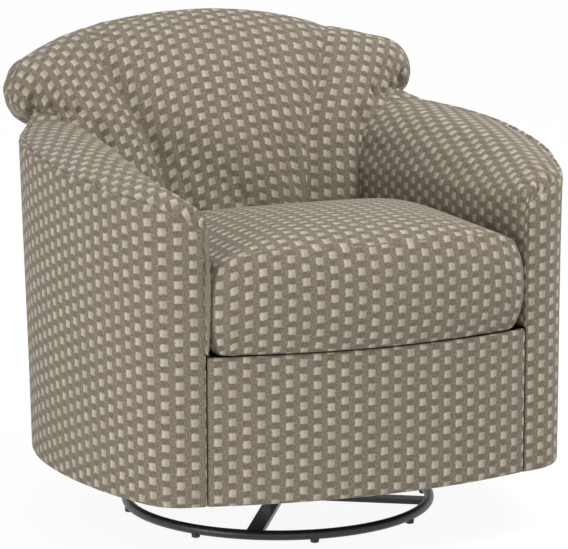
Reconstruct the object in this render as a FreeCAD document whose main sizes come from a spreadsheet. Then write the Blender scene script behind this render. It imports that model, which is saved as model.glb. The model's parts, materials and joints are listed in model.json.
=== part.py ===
import FreeCAD, Part
import math
import os
import Sketcher

Vec = FreeCAD.Vector
doc = FreeCAD.newDocument("swivel_glider_chair")

# Driving dimensions, in millimetres and degrees. Front is -Y, the floor is z = 0, the swivel axis is Z.
dims = {
    # base
    "ring_radius": 250, "ring_tube": 16, "ring_height": 13,
    "bar_width": 26, "bar_thick": 8, "bar_angle": -32,
    "glide_dia": 14, "glide_round": 2, "glide_count": 8, "weld_gap": 0.1,
    "hub_dia": 92, "hub_thick": 8, "spindle_dia": 20, "spindle_nut_high": 10, "spindle_nut_flats": 30,
    # swivel bearing
    "ball_dia": 8, "ball_circle": 40, "ball_count": 14, "race_inner": 28, "race_outer": 52, "race_thick": 7,
    "cage_thick": 2.4, "cage_edge": 2, "ball_gap": 0.3, "run_gap": 0.05,
    # carriage
    "plate_thick": 6, "plate_length": 200, "plate_width": 180, "bush_wall": 3, "bush_flange": 3, "bush_lip": 5,
    "beam_size": 25, "beam_wall": 3, "hanger_half": 150, "hanger_thick": 5, "hanger_edge": 20,
    "pivot_half": 75, "pivot_high": 205, "pin_dia": 10, "pin_head_dia": 18, "pin_head": 3,
    "link_length": 120, "link_width": 26, "link_thick": 5, "side_gap": 1.5, "link_bush_wall": 2,
    "swing_angle": 25, "bumper_dia": 14, "bumper_drop": 62, "bumper_gap": 0.4,
    # steel seat rails
    "rail_steel": 4, "rail_edge": 17, "rail_flange": 40, "bolt_dia": 8, "bolt_head": 5.5, "bolt_flats": 13,
    # covered shell
    "body_rise": 24, "shell_half": 413, "side_radius": 690, "side_mid": -30, "shell_rear": 385,
    "corner_radius": 80, "facing_angle": 12, "arm_width": 143, "seam_depth": 362, "front_bow": 40,
    "flare": 1.1, "lean_back": 1.3, "cover_thick": 14, "hem_radius": 8, "fit_gap": 0.3,
    "arm_seam": 608, "arm_fall": 4.6, "rear_rise": 21, "rise_run": 180, "tip_drop": 68, "tip_run": 68,
    "tip_depth": 100, "rear_seam_in": 123,
    # hardwood frame
    "frame_rise": 5, "board": 22, "seat_frame_top": 320, "frame_gap": 2, "back_rail_in": 233,
    "cleat_width": 40, "cleat_high": 38, "post_width": 40, "arm_rail_drop": 50, "arm_post_in": 52,
    "back_post_angle": 28, "back_post_width": 60, "post_drop": 93, "crest_width": 42, "crest_angle": 44,
    "mid_rail_width": 22, "mid_rail_angle": 70, "block_leg": 60, "block_high": 60,
    # seat
    "web_width": 50, "web_thick": 2, "long_web_count": 5, "cross_web_count": 4, "deck_thick": 14, "deck_inset": 38,
    "deck_room": 23, "cushion_thick": 167, "cushion_crown": 20, "cushion_dip": 58, "cushion_fall": 36,
    "cushion_side_gap": 4, "cushion_taper": 40, "cushion_nose": 58, "cushion_side_nose": 14, "cushion_in": 257,
    "cushion_corner": 34, "cushion_gap": 3, "seam_draw": 9,
    # arms
    "arm_crown": 4, "arm_climb": 2.8, "arm_nose": 58, "pad_gap": 1, "arm_roll": 56, "arm_in": 153,
    # back
    "back_gap": 4, "knee_in": 179, "knee_drop": 153, "wing_from": 128, "wing_foot": 8, "wing_knee": 24,
    "back_rise": 125, "roll_radius": 45, "roll_in": 10, "ear_radius": 58, "ear_side": 108, "ear_in": 95,
    "ear_drop": 61, "roll_lean": 40, "channel_radius": 6,
}

# Sizes that follow from others
follows = {
    "shell_low": "pivot_high - link_length + body_rise",
    "frame_low": "shell_low + frame_rise",
    "rail_leg": "frame_low - (pivot_high - link_length) + rail_edge",
    "seam_half": "shell_half - arm_width",
    "rear_seam": "shell_half - rear_seam_in",
    "rise_from": "shell_rear - rise_run",
    "tip_high": "arm_seam - tip_drop",
    "frame_half": "seam_half - frame_gap",
    "back_rail_front": "shell_rear - back_rail_in",
    "arm_rail_low": "arm_seam - arm_rail_drop",
    "arm_post_front": "arm_post_in - seam_depth",
    "post_top": "roll_high - post_drop",
    "cushion_low": "seat_frame_top + deck_room",
    "cushion_seam": "cushion_low + cushion_thick",
    "cushion_half": "seam_half - cushion_side_gap",
    "cushion_front": "seam_depth + cushion_nose",
    "cushion_side_front": "seam_depth + cushion_side_nose",
    "cushion_rear": "shell_rear - cushion_in",
    "arm_crest": "arm_seam + arm_crown",
    "arm_pad_low": "cushion_low + pad_gap",
    "arm_rear": "shell_rear - arm_in",
    "back_low": "cushion_low",
    "back_foot": "cushion_rear + back_gap",
    "back_knee": "shell_rear - knee_in",
    "back_knee_high": "roll_high - knee_drop",
    "roll_high": "arm_seam + back_rise",
    "roll_rear": "shell_rear - roll_in",
    "ear_half": "shell_half - ear_side",
    "ear_rear": "shell_rear - ear_in",
    "ear_high": "roll_high - ear_drop",
}

sizes = doc.addObject("Spreadsheet::Sheet", "sizes")
for row, (alias, number) in enumerate(dims.items(), start=1):
    sizes.set("A%d" % row, alias)
    sizes.set("B%d" % row, str(number))
    sizes.setAlias("B%d" % row, alias)
doc.recompute()
probe = doc.addObject("Part::Cylinder", "probe")


def expr(text):
    """Turns plain alias words into references to the sheet, and followed sizes into their formulas."""
    out = ""
    word = ""
    for letter in text + " ":
        if letter.isalnum() or letter == "_":
            word += letter
            continue
        if word in dims:
            out += "sizes." + word
        elif word in follows:
            out += "(" + expr(follows[word]) + ")"
        else:
            out += word
        word = ""
        out += letter
    return out.strip()


def doc_value(text):
    """The present value of a formula."""
    probe.setExpression("Placement.Base.x", expr(text))
    probe.recompute()
    return probe.Placement.Base.x


def val(alias):
    return float(getattr(sizes, alias)) if alias in dims else doc_value(alias)


def bind(obj, **props):
    for name, text in props.items():
        obj.setExpression(name.replace("__", "."), expr(text))
    return obj


def place(obj, x="0", y="0", z="0"):
    for axis, text in (("x", x), ("y", y), ("z", z)):
        obj.setExpression("Placement.Base." + axis, expr(text))
    return obj


nodes = []


def keep(obj, label):
    obj.Label = label
    nodes.append(obj)
    return obj


def box(label, x, y, z, length, width, height):
    board = bind(doc.addObject("Part::Box", label), Length=length, Width=width, Height=height)
    return place(board, x, y, z)


def cylinder(label, radius, height, x="0", y="0", z="0"):
    return place(bind(doc.addObject("Part::Cylinder", label), Radius=radius, Height=height), x, y, z)


def cut(label, base, tool):
    obj = doc.addObject("Part::Cut", label)
    obj.Base = base
    obj.Tool = tool
    return obj


def common(label, base, tool):
    obj = doc.addObject("Part::Common", label)
    obj.Base = base
    obj.Tool = tool
    return obj


def group(label, objects):
    obj = doc.addObject("Part::Compound", label)
    obj.Links = objects
    return obj


def feature(label, shape):
    obj = doc.addObject("Part::Feature", label)
    obj.Shape = shape
    return obj


# Sketch helpers: every corner and circle is tied to the sheet by its two distances from the origin.

def new_body(label):
    return doc.addObject("PartDesign::Body", label)


def sketch_on(body, role, name):
    plane = [item for item in body.Origin.OriginFeatures if item.Role == role][0]
    sk = body.newObject("Sketcher::SketchObject", name)
    sk.AttachmentSupport = (plane, [""])
    sk.MapMode = "FlatFace"
    return sk


def pin_point(sk, geo, point, x, y):
    for kind, text, axis in (("DistanceX", x, -2), ("DistanceY", y, -1)):
        if text == "0":
            sk.addConstraint(Sketcher.Constraint("PointOnObject", geo, point, axis))
            continue
        now = float(doc_value(text))
        index = sk.addConstraint(Sketcher.Constraint(kind, -1, 1, geo, point, now))
        sk.setExpression("Constraints[%d]" % index, expr(text))


def polygon(sk, corners):
    points = [Vec(doc_value(x), doc_value(y), 0) for x, y in corners]
    first = sk.GeometryCount
    count = len(points)
    for i in range(count):
        sk.addGeometry(Part.LineSegment(points[i], points[(i + 1) % count]), False)
    for i in range(count):
        sk.addConstraint(Sketcher.Constraint("Coincident", first + i, 2, first + (i + 1) % count, 1))
    for i, (x, y) in enumerate(corners):
        pin_point(sk, first + i, 1, x, y)


def circle(sk, x, y, diameter):
    centre = Vec(doc_value(x), doc_value(y), 0)
    geo = sk.addGeometry(Part.Circle(centre, Vec(0, 0, 1), doc_value(diameter) / 2), False)
    index = sk.addConstraint(Sketcher.Constraint("Diameter", geo, doc_value(diameter)))
    sk.setExpression("Constraints[%d]" % index, expr(diameter))
    pin_point(sk, geo, 3, x, y)


def pad(body, sk, length):
    obj = body.newObject("PartDesign::Pad", body.Name + "_pad")
    obj.Profile = sk
    return bind(obj, Length=length)


def pocket_through(body, sk):
    obj = body.newObject("PartDesign::Pocket", body.Name + "_pocket")
    obj.Profile = sk
    obj.Type = "ThroughAll"
    obj.Midplane = True
    return obj


def spin(body, sk):
    obj = body.newObject("PartDesign::Revolution", body.Name + "_turn")
    obj.Profile = sk
    obj.ReferenceAxis = (sk, ["V_Axis"])
    obj.Angle = 360
    return obj


def turned(label, corners):
    """A piece turned about Z from a half profile of (radius, height) corners."""
    body = new_body(label)
    sk = sketch_on(body, "XZ_Plane", label + "_profile")
    polygon(sk, corners)
    spin(body, sk)
    return body


def around(obj, count, start=0.0):
    """Copies of one object, spread evenly about the swivel axis."""
    copies = []
    for i in range(count):
        link = feature("%s_%d" % (obj.Name, i + 1), obj.Shape.copy())
        angle = start + 360.0 * i / count
        turn = FreeCAD.Placement(Vec(), FreeCAD.Rotation(Vec(0, 0, 1), angle))
        link.Placement = turn.multiply(obj.Shape.Placement)
        copies.append(link)
    return copies


# Base: tube ring, two crossing bars, hub, spindle and floor glides

ring = place(bind(doc.addObject("Part::Torus", "base_ring"),
                  Radius1="ring_radius", Radius2="ring_tube / 2"), z="ring_height")
keep(ring, "base_ring")
weld_ring = place(bind(doc.addObject("Part::Torus", "weld_ring"),
                       Radius1="ring_radius", Radius2="ring_tube / 2 + weld_gap"), z="ring_height")
bar_low = "ring_height - bar_thick / 2"


def cross_bar(label, turn, notch_z):
    blank = box(label + "_blank", "-ring_radius", "-bar_width / 2", bar_low,
                "2 * ring_radius", "bar_width", "bar_thick")
    notch = box(label + "_notch", "-bar_width / 2 - weld_gap", "-bar_width", notch_z,
                "bar_width + 2 * weld_gap", "2 * bar_width", "bar_thick / 2 + weld_gap")
    lapped = cut(label + "_lapped", blank, notch)
    doc.recompute()
    flat = feature(label + "_turned", lapped.Shape.copy())
    flat.Placement = FreeCAD.Placement(Vec(), FreeCAD.Rotation(Vec(0, 0, 1), turn))
    return keep(cut(label, flat, weld_ring), label)


cross_bar("cross_bar_long", val("bar_angle") - 90, "ring_height - weld_gap / 2")
cross_bar("cross_bar_short", val("bar_angle"), "ring_height - bar_thick / 2 - weld_gap / 2")

hub_low = "ring_height + bar_thick / 2"
hub_top = hub_low + " + hub_thick"
keep(turned("hub_plate", [("0", hub_low), ("hub_dia / 2", hub_low), ("hub_dia / 2", hub_top), ("0", hub_top)]),
     "hub_plate")

glide = cylinder("glide_blank", "glide_dia / 2", "ring_height", "ring_radius", "0", "0")
glide_cap = doc.addObject("Part::Fillet", "glide_round")
glide_cap.Base = glide
doc.recompute()
low_edges = [i + 1 for i, e in enumerate(glide.Shape.Edges) if e.BoundBox.ZMax < 0.01]
glide_cap.Edges = [(i, val("glide_round"), val("glide_round")) for i in low_edges]
saddle = cylinder("glide_saddle", "ring_tube / 2 + 2 * weld_gap", "2 * glide_dia", "ring_radius", "glide_dia", "ring_height")
saddle.Placement.Rotation = FreeCAD.Rotation(Vec(1, 0, 0), 90)
glide_low = common("glide_low", cut("glide_seat", glide_cap, saddle),
                   box("glide_clip", "0", "-ring_radius", "0", "2 * ring_radius", "2 * ring_radius", "ring_height - ring_tube / 4"))
doc.recompute()
glide_turn = val("bar_angle") - 90 + 180.0 / val("glide_count")
keep(group("floor_glides", around(glide_low, int(val("glide_count")), glide_turn)), "floor_glides")

# Swivel bearing between the hub and the carriage

ball_z = hub_top + " + race_thick + ball_dia / 4"
upper_low = hub_top + " + race_thick + ball_dia / 2"
upper_top = upper_low + " + race_thick"


def race(label, low, groove):
    blank = turned(label + "_blank", [("race_inner", low), ("race_outer", low),
                                      ("race_outer", low + " + race_thick"), ("race_inner", low + " + race_thick")])
    track = place(bind(doc.addObject("Part::Torus", label + "_track"),
                       Radius1="ball_circle", Radius2=groove), z=ball_z)
    return keep(cut(label, blank, track), label)


race("lower_race", hub_top, "ball_dia / 2 + run_gap")
race("upper_race", upper_low, "ball_dia / 2 + ball_gap")

ball = place(bind(doc.addObject("Part::Sphere", "ball_blank"), Radius="ball_dia / 2"), "ball_circle", "0", ball_z)
pocket = cylinder("cage_pocket", "ball_dia / 2 + ball_gap", "cage_thick * 2", "ball_circle", "0",
                  ball_z + " - cage_thick")
doc.recompute()
ball_count = int(val("ball_count"))
keep(group("bearing_balls", around(ball, ball_count)), "bearing_balls")
cage_low = ball_z + " - cage_thick / 2"
cage_top = ball_z + " + cage_thick / 2"
cage_in = "race_inner + cage_edge"
cage_out = "race_outer - cage_edge"
cage_ring = turned("cage_ring", [(cage_in, cage_low), (cage_out, cage_low), (cage_out, cage_top), (cage_in, cage_top)])
keep(cut("ball_cage", cage_ring, group("cage_pockets", around(pocket, ball_count))), "ball_cage")

# Spindle, fixed in the hub, with its nut above the swivel plate's bush

plate_top = upper_top + " + plate_thick"
nut_low = plate_top + " + bush_flange + fit_gap"
spindle_top = nut_low + " + spindle_nut_high + 2"
keep(turned("spindle", [("0", hub_top), ("spindle_dia / 2 + 3", hub_top),
                        ("spindle_dia / 2 + 3", hub_top + " + 4"), ("spindle_dia / 2", hub_top + " + 4"),
                        ("spindle_dia / 2", spindle_top + " - 1"), ("spindle_dia / 2 - 1", spindle_top),
                        ("0", spindle_top)]), "spindle")


def hexagon(sk, flats):
    half = "(" + flats + ") / 2"
    side = "(" + flats + ") / 3.4641016"
    polygon(sk, [(half, "-" + side), (half, side), ("0", "2 * " + side),
                 ("-" + half, side), ("-" + half, "-" + side), ("0", "-2 * " + side)])


nut = new_body("spindle_nut")
nut_sketch = sketch_on(nut, "XY_Plane", "spindle_nut_profile")
hexagon(nut_sketch, "spindle_nut_flats")
circle(nut_sketch, "0", "0", "spindle_dia")
pad(nut, nut_sketch, "spindle_nut_high")
place(nut, z=nut_low)
keep(nut, "spindle_nut")

# Carriage: swivel plate, bush, two square tubes and two hanger plates with the upper pivots

plate = new_body("swivel_plate")
plate_sketch = sketch_on(plate, "XY_Plane", "swivel_plate_profile")
polygon(plate_sketch, [("-plate_width / 2", "-plate_length / 2"), ("plate_width / 2", "-plate_length / 2"),
                       ("plate_width / 2", "plate_length / 2"), ("-plate_width / 2", "plate_length / 2")])
circle(plate_sketch, "0", "0", "spindle_dia + 2 * run_gap + 2 * bush_wall")
pad(plate, plate_sketch, "plate_thick")
place(plate, z=upper_top)
keep(plate, "swivel_plate")

bush_bore = "spindle_dia / 2 + run_gap"
keep(turned("swivel_bush", [(bush_bore, upper_low), (bush_bore + " + bush_wall", upper_low),
                            (bush_bore + " + bush_wall", plate_top),
                            (bush_bore + " + bush_wall + bush_lip", plate_top),
                            (bush_bore + " + bush_wall + bush_lip", plate_top + " + bush_flange"),
                            (bush_bore, plate_top + " + bush_flange")]), "swivel_bush")


def beam(label, y):
    body = new_body(label)
    sk = sketch_on(body, "YZ_Plane", label + "_profile")
    outer = "beam_size / 2"
    inner = "beam_size / 2 - beam_wall"
    polygon(sk, [("-" + outer, "0"), (outer, "0"), (outer, "beam_size"), ("-" + outer, "beam_size")])
    polygon(sk, [("beam_wall - " + outer, "beam_wall"), (inner, "beam_wall"),
                 (inner, "beam_size - beam_wall"), ("beam_wall - " + outer, "beam_size - beam_wall")])
    pad(body, sk, "2 * hanger_half")
    place(body, "-hanger_half", y, plate_top)
    return keep(body, label)


beam("carriage_beam_front", "beam_size / 2 - pivot_half")
beam("carriage_beam_rear", "pivot_half - beam_size / 2")


def hanger(label, x):
    """A vertical plate with a foot on the beams and two ears that carry the upper pivots."""
    body = new_body(label)
    sk = sketch_on(body, "YZ_Plane", label + "_profile")
    foot = "pivot_half"
    ear = "pivot_half + hanger_edge"
    waist = "0.58 * pivot_half"
    low = plate_top
    shoulder = low + " + beam_size + hanger_edge / 5"
    narrow = low + " + beam_size + 1.5 * hanger_edge"
    half = [(foot, low), (foot, shoulder), (waist, narrow), (waist, "pivot_high - 2.2 * hanger_edge"),
            (ear, "pivot_high - hanger_edge"), (ear, "pivot_high + hanger_edge")]
    polygon(sk, half + [("-(" + y + ")", z) for y, z in reversed(half)])
    circle(sk, "pivot_half", "pivot_high", "pin_dia")
    circle(sk, "-pivot_half", "pivot_high", "pin_dia")
    pad(body, sk, "hanger_thick")
    place(body, x)
    return keep(body, label)


hanger("hanger_plate_left", "-hanger_half - hanger_thick")
hanger("hanger_plate_right", "hanger_half")

# Pivot pins lie along X: a head, then the shank

link_in = "hanger_half + hanger_thick + side_gap"
link_out = link_in + " + link_thick"
leg_in = link_out + " + side_gap"
leg_out = leg_in + " + rail_steel"


def pin(label, head_x, shank_to, y, z):
    """A pin on the right side; head_x is the inner end of its head and shank_to its far end."""
    body = new_body(label)
    sk = sketch_on(body, "XZ_Plane", label + "_profile")
    half = "pin_dia / 2"
    polygon(sk, [("0", "0"), ("pin_head_dia / 2", "0"), ("pin_head_dia / 2", "pin_head"), (half, "pin_head"),
                 (half, shank_to + " - (" + head_x + ")"), ("0", shank_to + " - (" + head_x + ")")])
    spin(body, sk)
    place(body, head_x, y, z)
    doc.recompute()
    return body


def four_pins(label, make_right):
    """Right-hand front and rear pins, and their mirror images on the left."""
    solids = []
    for side in (1, -1):
        for y in ("-pivot_half", "pivot_half"):
            one = make_right("%s_%s_%s" % (label, "r" if side > 0 else "l", "f" if y[0] == "-" else "b"), y)
            turn = FreeCAD.Rotation(Vec(0, 1, 0), 90)
            base = one.Placement.Base
            shape = one.Shape.copy()
            shape.Placement = FreeCAD.Placement(base, turn)
            if side < 0:
                shape = shape.mirror(Vec(), Vec(1, 0, 0))
            solids.append(feature(one.Name + "_set", shape))
    return keep(group(label, solids), label)


four_pins("upper_pivot_pins", lambda name, y: pin(name, "hanger_half - pin_head", link_out + " + 1", y, "pivot_high"))


def lower_pin(name, y):
    """Its head is outside the seat rail, so it is turned round after it is made."""
    length = leg_out + " + pin_head - (" + link_in + ")"
    body = new_body(name)
    sk = sketch_on(body, "XZ_Plane", name + "_profile")
    half = "pin_dia / 2"
    polygon(sk, [("0", "0"), (half, "0"), (half, length + " - pin_head"), ("pin_head_dia / 2", length + " - pin_head"),
                 ("pin_head_dia / 2", length), ("0", length)])
    spin(body, sk)
    place(body, link_in, y, "pivot_high - link_length")
    doc.recompute()
    return body


four_pins("lower_pivot_pins", lower_pin)


# Hanging links with nylon bushes in both ends

def link_plate(label):
    body = new_body(label)
    sk = sketch_on(body, "YZ_Plane", label + "_profile")
    half = val("link_width") / 2
    drop = val("link_length")
    top_arc = sk.addGeometry(Part.ArcOfCircle(Part.Circle(Vec(), Vec(0, 0, 1), half), 0, math.pi), False)
    low_arc = sk.addGeometry(Part.ArcOfCircle(Part.Circle(Vec(0, -drop), Vec(0, 0, 1), half),
                                              math.pi, 2 * math.pi), False)
    left = sk.addGeometry(Part.LineSegment(Vec(-half, 0), Vec(-half, -drop)), False)
    right = sk.addGeometry(Part.LineSegment(Vec(half, -drop), Vec(half, 0)), False)
    sk.addConstraint(Sketcher.Constraint("Coincident", top_arc, 3, -1, 1))
    sk.addConstraint(Sketcher.Constraint("Tangent", top_arc, 2, left, 1))
    sk.addConstraint(Sketcher.Constraint("Tangent", left, 2, low_arc, 1))
    sk.addConstraint(Sketcher.Constraint("Tangent", low_arc, 2, right, 1))
    sk.addConstraint(Sketcher.Constraint("Tangent", right, 2, top_arc, 1))
    index = sk.addConstraint(Sketcher.Constraint("Radius", top_arc, half))
    sk.setExpression("Constraints[%d]" % index, expr("link_width / 2"))
    pin_point(sk, low_arc, 3, "0", "-link_length")
    hole = "pin_dia + 2 * run_gap + 2 * link_bush_wall"
    circle(sk, "0", "0", hole)
    circle(sk, "0", "-link_length", hole)
    pad(body, sk, "link_thick")
    return body


def link_pair(name, y):
    place(keep(link_plate(name + "_left"), name + "_left"), "-(" + link_out + ")", y, "pivot_high")
    place(keep(link_plate(name + "_right"), name + "_right"), link_in, y, "pivot_high")
    bushes = []
    for side, x in (("left", "-(" + link_out + ")"), ("right", link_in)):
        for end, z in (("top", "pivot_high"), ("low", "pivot_high - link_length")):
            body = new_body("%s_bush_%s_%s" % (name, side, end))
            sk = sketch_on(body, "YZ_Plane", body.Name + "_profile")
            circle(sk, "0", "0", "pin_dia + 2 * run_gap + 2 * link_bush_wall")
            circle(sk, "0", "0", "pin_dia + 2 * run_gap")
            pad(body, sk, "link_thick")
            bushes.append(place(body, x, y, z))
    keep(group(name + "_bushes", bushes), name + "_bushes")


link_pair("front_link", "-pivot_half")
link_pair("rear_link", "pivot_half")

# Rubber bumpers on the hanger plates stop the links at the end of the swing
swing = math.radians(val("swing_angle"))
bumper_at = (val("bumper_drop") * math.tan(swing)
             + ((val("link_width") + val("bumper_dia")) / 2 + val("bumper_gap")) / math.cos(swing))
bumpers = []
for side in (1, -1):
    for y in (bumper_at - val("pivot_half"), val("pivot_half") - bumper_at):
        rubber = bind(doc.addObject("Part::Cylinder", "bumper"), Radius="bumper_dia / 2",
                      Height="link_thick + side_gap")
        base = Vec(side * (val("hanger_half") + val("hanger_thick")), y, val("pivot_high") - val("bumper_drop"))
        rubber.Placement = FreeCAD.Placement(base, FreeCAD.Rotation(Vec(0, 1, 0), 90 * side))
        bumpers.append(rubber)
keep(group("stop_bumpers", bumpers), "stop_bumpers")

# Steel seat rails: angles that hang on the lower pivots and carry the hardwood frame

rail_front = "-(pivot_half + 2 * cleat_width + 40)"
rail_rear = "back_rail_front + board"


def seat_rail(label, side):
    body = new_body(label)
    sk = sketch_on(body, "XZ_Plane", label + "_profile")
    sign = "" if side > 0 else "-"
    near = sign + "(" + leg_in + ")"
    far = sign + "(" + leg_out + ")"
    edge = sign + "(" + leg_in + " + rail_flange)"
    low = "frame_low - rail_leg"
    polygon(sk, [(near, low), (far, low), (far, "frame_low - rail_steel"), (edge, "frame_low - rail_steel"),
                 (edge, "frame_low"), (near, "frame_low")])
    pad(body, sk, rail_rear + " - (" + rail_front + ")")
    place(body, y=rail_rear)
    holes = sketch_on(body, "YZ_Plane", label + "_pivots")
    circle(holes, "-pivot_half - (" + rail_rear + ")", "pivot_high - link_length", "pin_dia")
    circle(holes, "pivot_half - (" + rail_rear + ")", "pivot_high - link_length", "pin_dia")
    pocket_through(body, holes)
    bolt_holes = sketch_on(body, "XY_Plane", label + "_bolt_holes")
    for y in (bolt_front, bolt_rear):
        circle(bolt_holes, sign + "(" + bolt_x + ")", y + " - (" + rail_rear + ")", "bolt_dia")
    pocket_through(body, bolt_holes)
    return keep(body, label)


cleat_front = "-(pivot_half + 2 * cleat_width + 34)"
bolt_x = leg_out + " + rail_flange / 2"
bolt_front = "(" + cleat_front + " + cleat_width / 2)"
bolt_rear = "(back_rail_front + board / 2)"
seat_rail("seat_rail_left", -1)
seat_rail("seat_rail_right", 1)

bolts = []
bolt_len = "cleat_high - 6"
for x in (bolt_x, "-(" + bolt_x + ")"):
    for y in (bolt_front, bolt_rear):
        body = new_body("mount_bolt")
        head = sketch_on(body, "XY_Plane", body.Name + "_head")
        hexagon(head, "bolt_flats")
        pad(body, head, "bolt_head")
        shank = sketch_on(body, "XY_Plane", body.Name + "_shank")
        circle(shank, "0", "0", "bolt_dia")
        pad(body, shank, "bolt_head + rail_steel + " + bolt_len)
        bolts.append(place(body, x, y, "frame_low - rail_steel - bolt_head"))
mounting_bolts = keep(group("mounting_bolts", bolts), "mounting_bolts")

# The shell's plan: a facing beside the front seam, a corner, a long side arc and a round back

side_centre = Vec(val("shell_half") - val("side_radius"), val("side_mid"), 0)
reach = val("shell_rear") - val("side_mid")
back_radius = ((val("side_radius") ** 2 - side_centre.x ** 2 - reach ** 2)
               / (2 * (val("side_radius") - reach)))
back_centre = Vec(0, val("shell_rear") - back_radius, 0)
facing = math.radians(val("facing_angle"))
facing_out = Vec(math.sin(facing), -math.cos(facing), 0)
facing_along = Vec(math.cos(facing), math.sin(facing), 0)
seam = Vec(val("seam_half"), -val("seam_depth"), 0)
start = seam - facing_out * val("corner_radius") - side_centre
slope = start.dot(facing_along)
inside = (val("side_radius") - val("corner_radius")) ** 2 - start.dot(start)
corner_centre = side_centre + start + facing_along * (math.sqrt(slope ** 2 + inside) - slope)
bow_radius = (val("seam_half") ** 2 + val("front_bow") ** 2) / (2 * val("front_bow"))
bow_centre = Vec(0, bow_radius - val("seam_depth") - val("front_bow"), 0)
flare = math.tan(math.radians(val("flare")))
lean_back = math.tan(math.radians(val("lean_back")))


def unit(a, b):
    d = b - a
    return d / d.Length


def arc_between(centre, radius, a, b):
    """The short arc about centre from direction a to direction b."""
    middle = a + b
    middle.normalize()
    return Part.Arc(centre + a * radius, centre + middle * radius, centre + b * radius).toShape()


def flip(p):
    return Vec(-p.x, p.y, p.z)


def half_plan(inset, z):
    """Edges of the right half, from the front seam plane to the middle of the back."""
    up = Vec(0, 0, z)
    corner_dir = unit(side_centre, corner_centre)
    side_dir = unit(side_centre, back_centre)
    corner_start = corner_centre + facing_out * (val("corner_radius") - inset)
    to_seam = (corner_start.x - val("seam_half")) / facing_along.x
    front = corner_start - facing_along * to_seam
    edges = [Part.LineSegment(front + up, corner_start + up).toShape(),
             arc_between(corner_centre + up, val("corner_radius") - inset, facing_out, corner_dir),
             arc_between(side_centre + up, val("side_radius") - inset, corner_dir, side_dir * -1
                         if side_dir.x < 0 else side_dir),
             arc_between(back_centre + up, back_radius - inset, unit(side_centre, back_centre), Vec(0, 1, 0))]
    return edges, front + up


def mirrored(edges):
    return [e.mirror(Vec(), Vec(1, 0, 0)) for e in reversed(edges)]


def plan_wire(inset, z):
    """The whole outline, closed across the front by the bow."""
    edges, front = half_plan(inset, z)
    bow = Part.Arc(flip(front), Vec(0, bow_centre.y - bow_radius + inset, z), front).toShape()
    return Part.Wire(Part.__sortEdges__(edges + mirrored(edges) + [bow]))


def band_wire(inset, thick, z):
    """The outline's U without the front, as a closed band."""
    outer, front_out = half_plan(inset, z)
    inner, front_in = half_plan(inset + thick, z)
    ends = [Part.LineSegment(front_out, front_in).toShape(),
            Part.LineSegment(flip(front_out), flip(front_in)).toShape()]
    return Part.Wire(Part.__sortEdges__(outer + mirrored(outer) + inner + mirrored(inner) + ends))


def flared(low, high, inset):
    """A solid inside the outline, which leans out and back with the height."""
    wires = []
    for z in (low, high):
        up = z - val("shell_low")
        wire = plan_wire(inset - up * flare, z)
        wire.translate(Vec(0, up * lean_back, 0))
        wires.append(wire)
    return Part.makeLoft(wires, True, True)


shell_low = val("shell_low")
shell_top = val("roll_high") + val("roll_radius")
cover = val("cover_thick")
fit = val("fit_gap")
band_top = band_wire(-(shell_top - shell_low) * flare, cover, shell_top)
band_top.translate(Vec(0, (shell_top - shell_low) * lean_back, 0))
band = Part.makeLoft([band_wire(0, cover, shell_low), band_top], True, True)


def side_cutter(points, x_from, x_to):
    """A prism along X over a list of (y, z) points."""
    ring_points = [Vec(x_from, y, z) for y, z in points]
    face = Part.Face(Part.makePolygon(ring_points + ring_points[:1]))
    return face.extrude(Vec(x_to - x_from, 0, 0))


def front_cutter(points, y_from, y_to):
    """A prism along Y over a list of (x, z) points."""
    ring_points = [Vec(x, y_from, z) for x, z in points]
    face = Part.Face(Part.makePolygon(ring_points + ring_points[:1]))
    return face.extrude(Vec(0, y_to - y_from, 0))


def seam_z(y):
    """Height of the seam between the arm's top and the outside panel."""
    if y > val("rise_from"):
        return seam_z(val("rise_from")) + (y - val("rise_from")) * math.tan(math.radians(val("rear_rise")))
    return val("arm_seam") + y * math.tan(math.radians(val("arm_fall")))


far = 2 * val("shell_half")
rise_from = val("rise_from")
above_seam = side_cutter([(-far, seam_z(-far)), (rise_from, seam_z(rise_from)), (far, seam_z(far)),
                          (far, far + shell_top), (-far, far + shell_top)], -far, far)
tip_x = val("seam_half")
tip_z = val("tip_high")
tip_top = seam_z(-val("seam_depth"))
tip_slope = (tip_top - tip_z) / val("tip_run")


def tip_cutter(side):
    near = tip_x - val("tip_run")
    past = tip_x + val("arm_width")
    points = [(near, tip_z - val("tip_run") * tip_slope), (past, tip_z + val("arm_width") * tip_slope),
              (past, shell_top + far), (near, shell_top + far)]
    return front_cutter([(side * x, z) for x, z in points], -far, val("tip_depth") - val("seam_depth"))


# The roll along the top of the back: a bent round tube that ends in two ears
ear = Vec(val("ear_half"), val("ear_rear"), val("ear_high"))
crown = Vec(0, val("roll_rear"), val("roll_high"))


def roll(grow):
    """Circles along an arc from ear to ear, thinner in the middle, closing to round ends."""
    path = Part.Arc(flip(ear), crown, ear).toShape()
    span = path.LastParameter - path.FirstParameter
    ear_r = val("ear_radius") + grow
    rings = []
    for share in (0, 0.25, 0.5, 0.75, 1):
        at = path.FirstParameter + share * span
        swell = (2 * share - 1) ** 2
        radius = val("roll_radius") + grow + (val("ear_radius") - val("roll_radius")) * swell
        rings.append((path.valueAt(at), path.tangentAt(at), radius))
    for turn in (28, 52, 74):
        out = ear_r * math.sin(math.radians(turn))
        radius = ear_r * math.cos(math.radians(turn))
        start_dir = path.tangentAt(path.FirstParameter)
        end_dir = path.tangentAt(path.LastParameter)
        rings.insert(0, (path.valueAt(path.FirstParameter) - start_dir * out, start_dir, radius))
        rings.append((path.valueAt(path.LastParameter) + end_dir * out, end_dir, radius))
    wires = [Part.Wire(Part.Circle(centre, along, radius).toShape()) for centre, along, radius in rings]
    return Part.makeLoft(wires, True, False)


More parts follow.
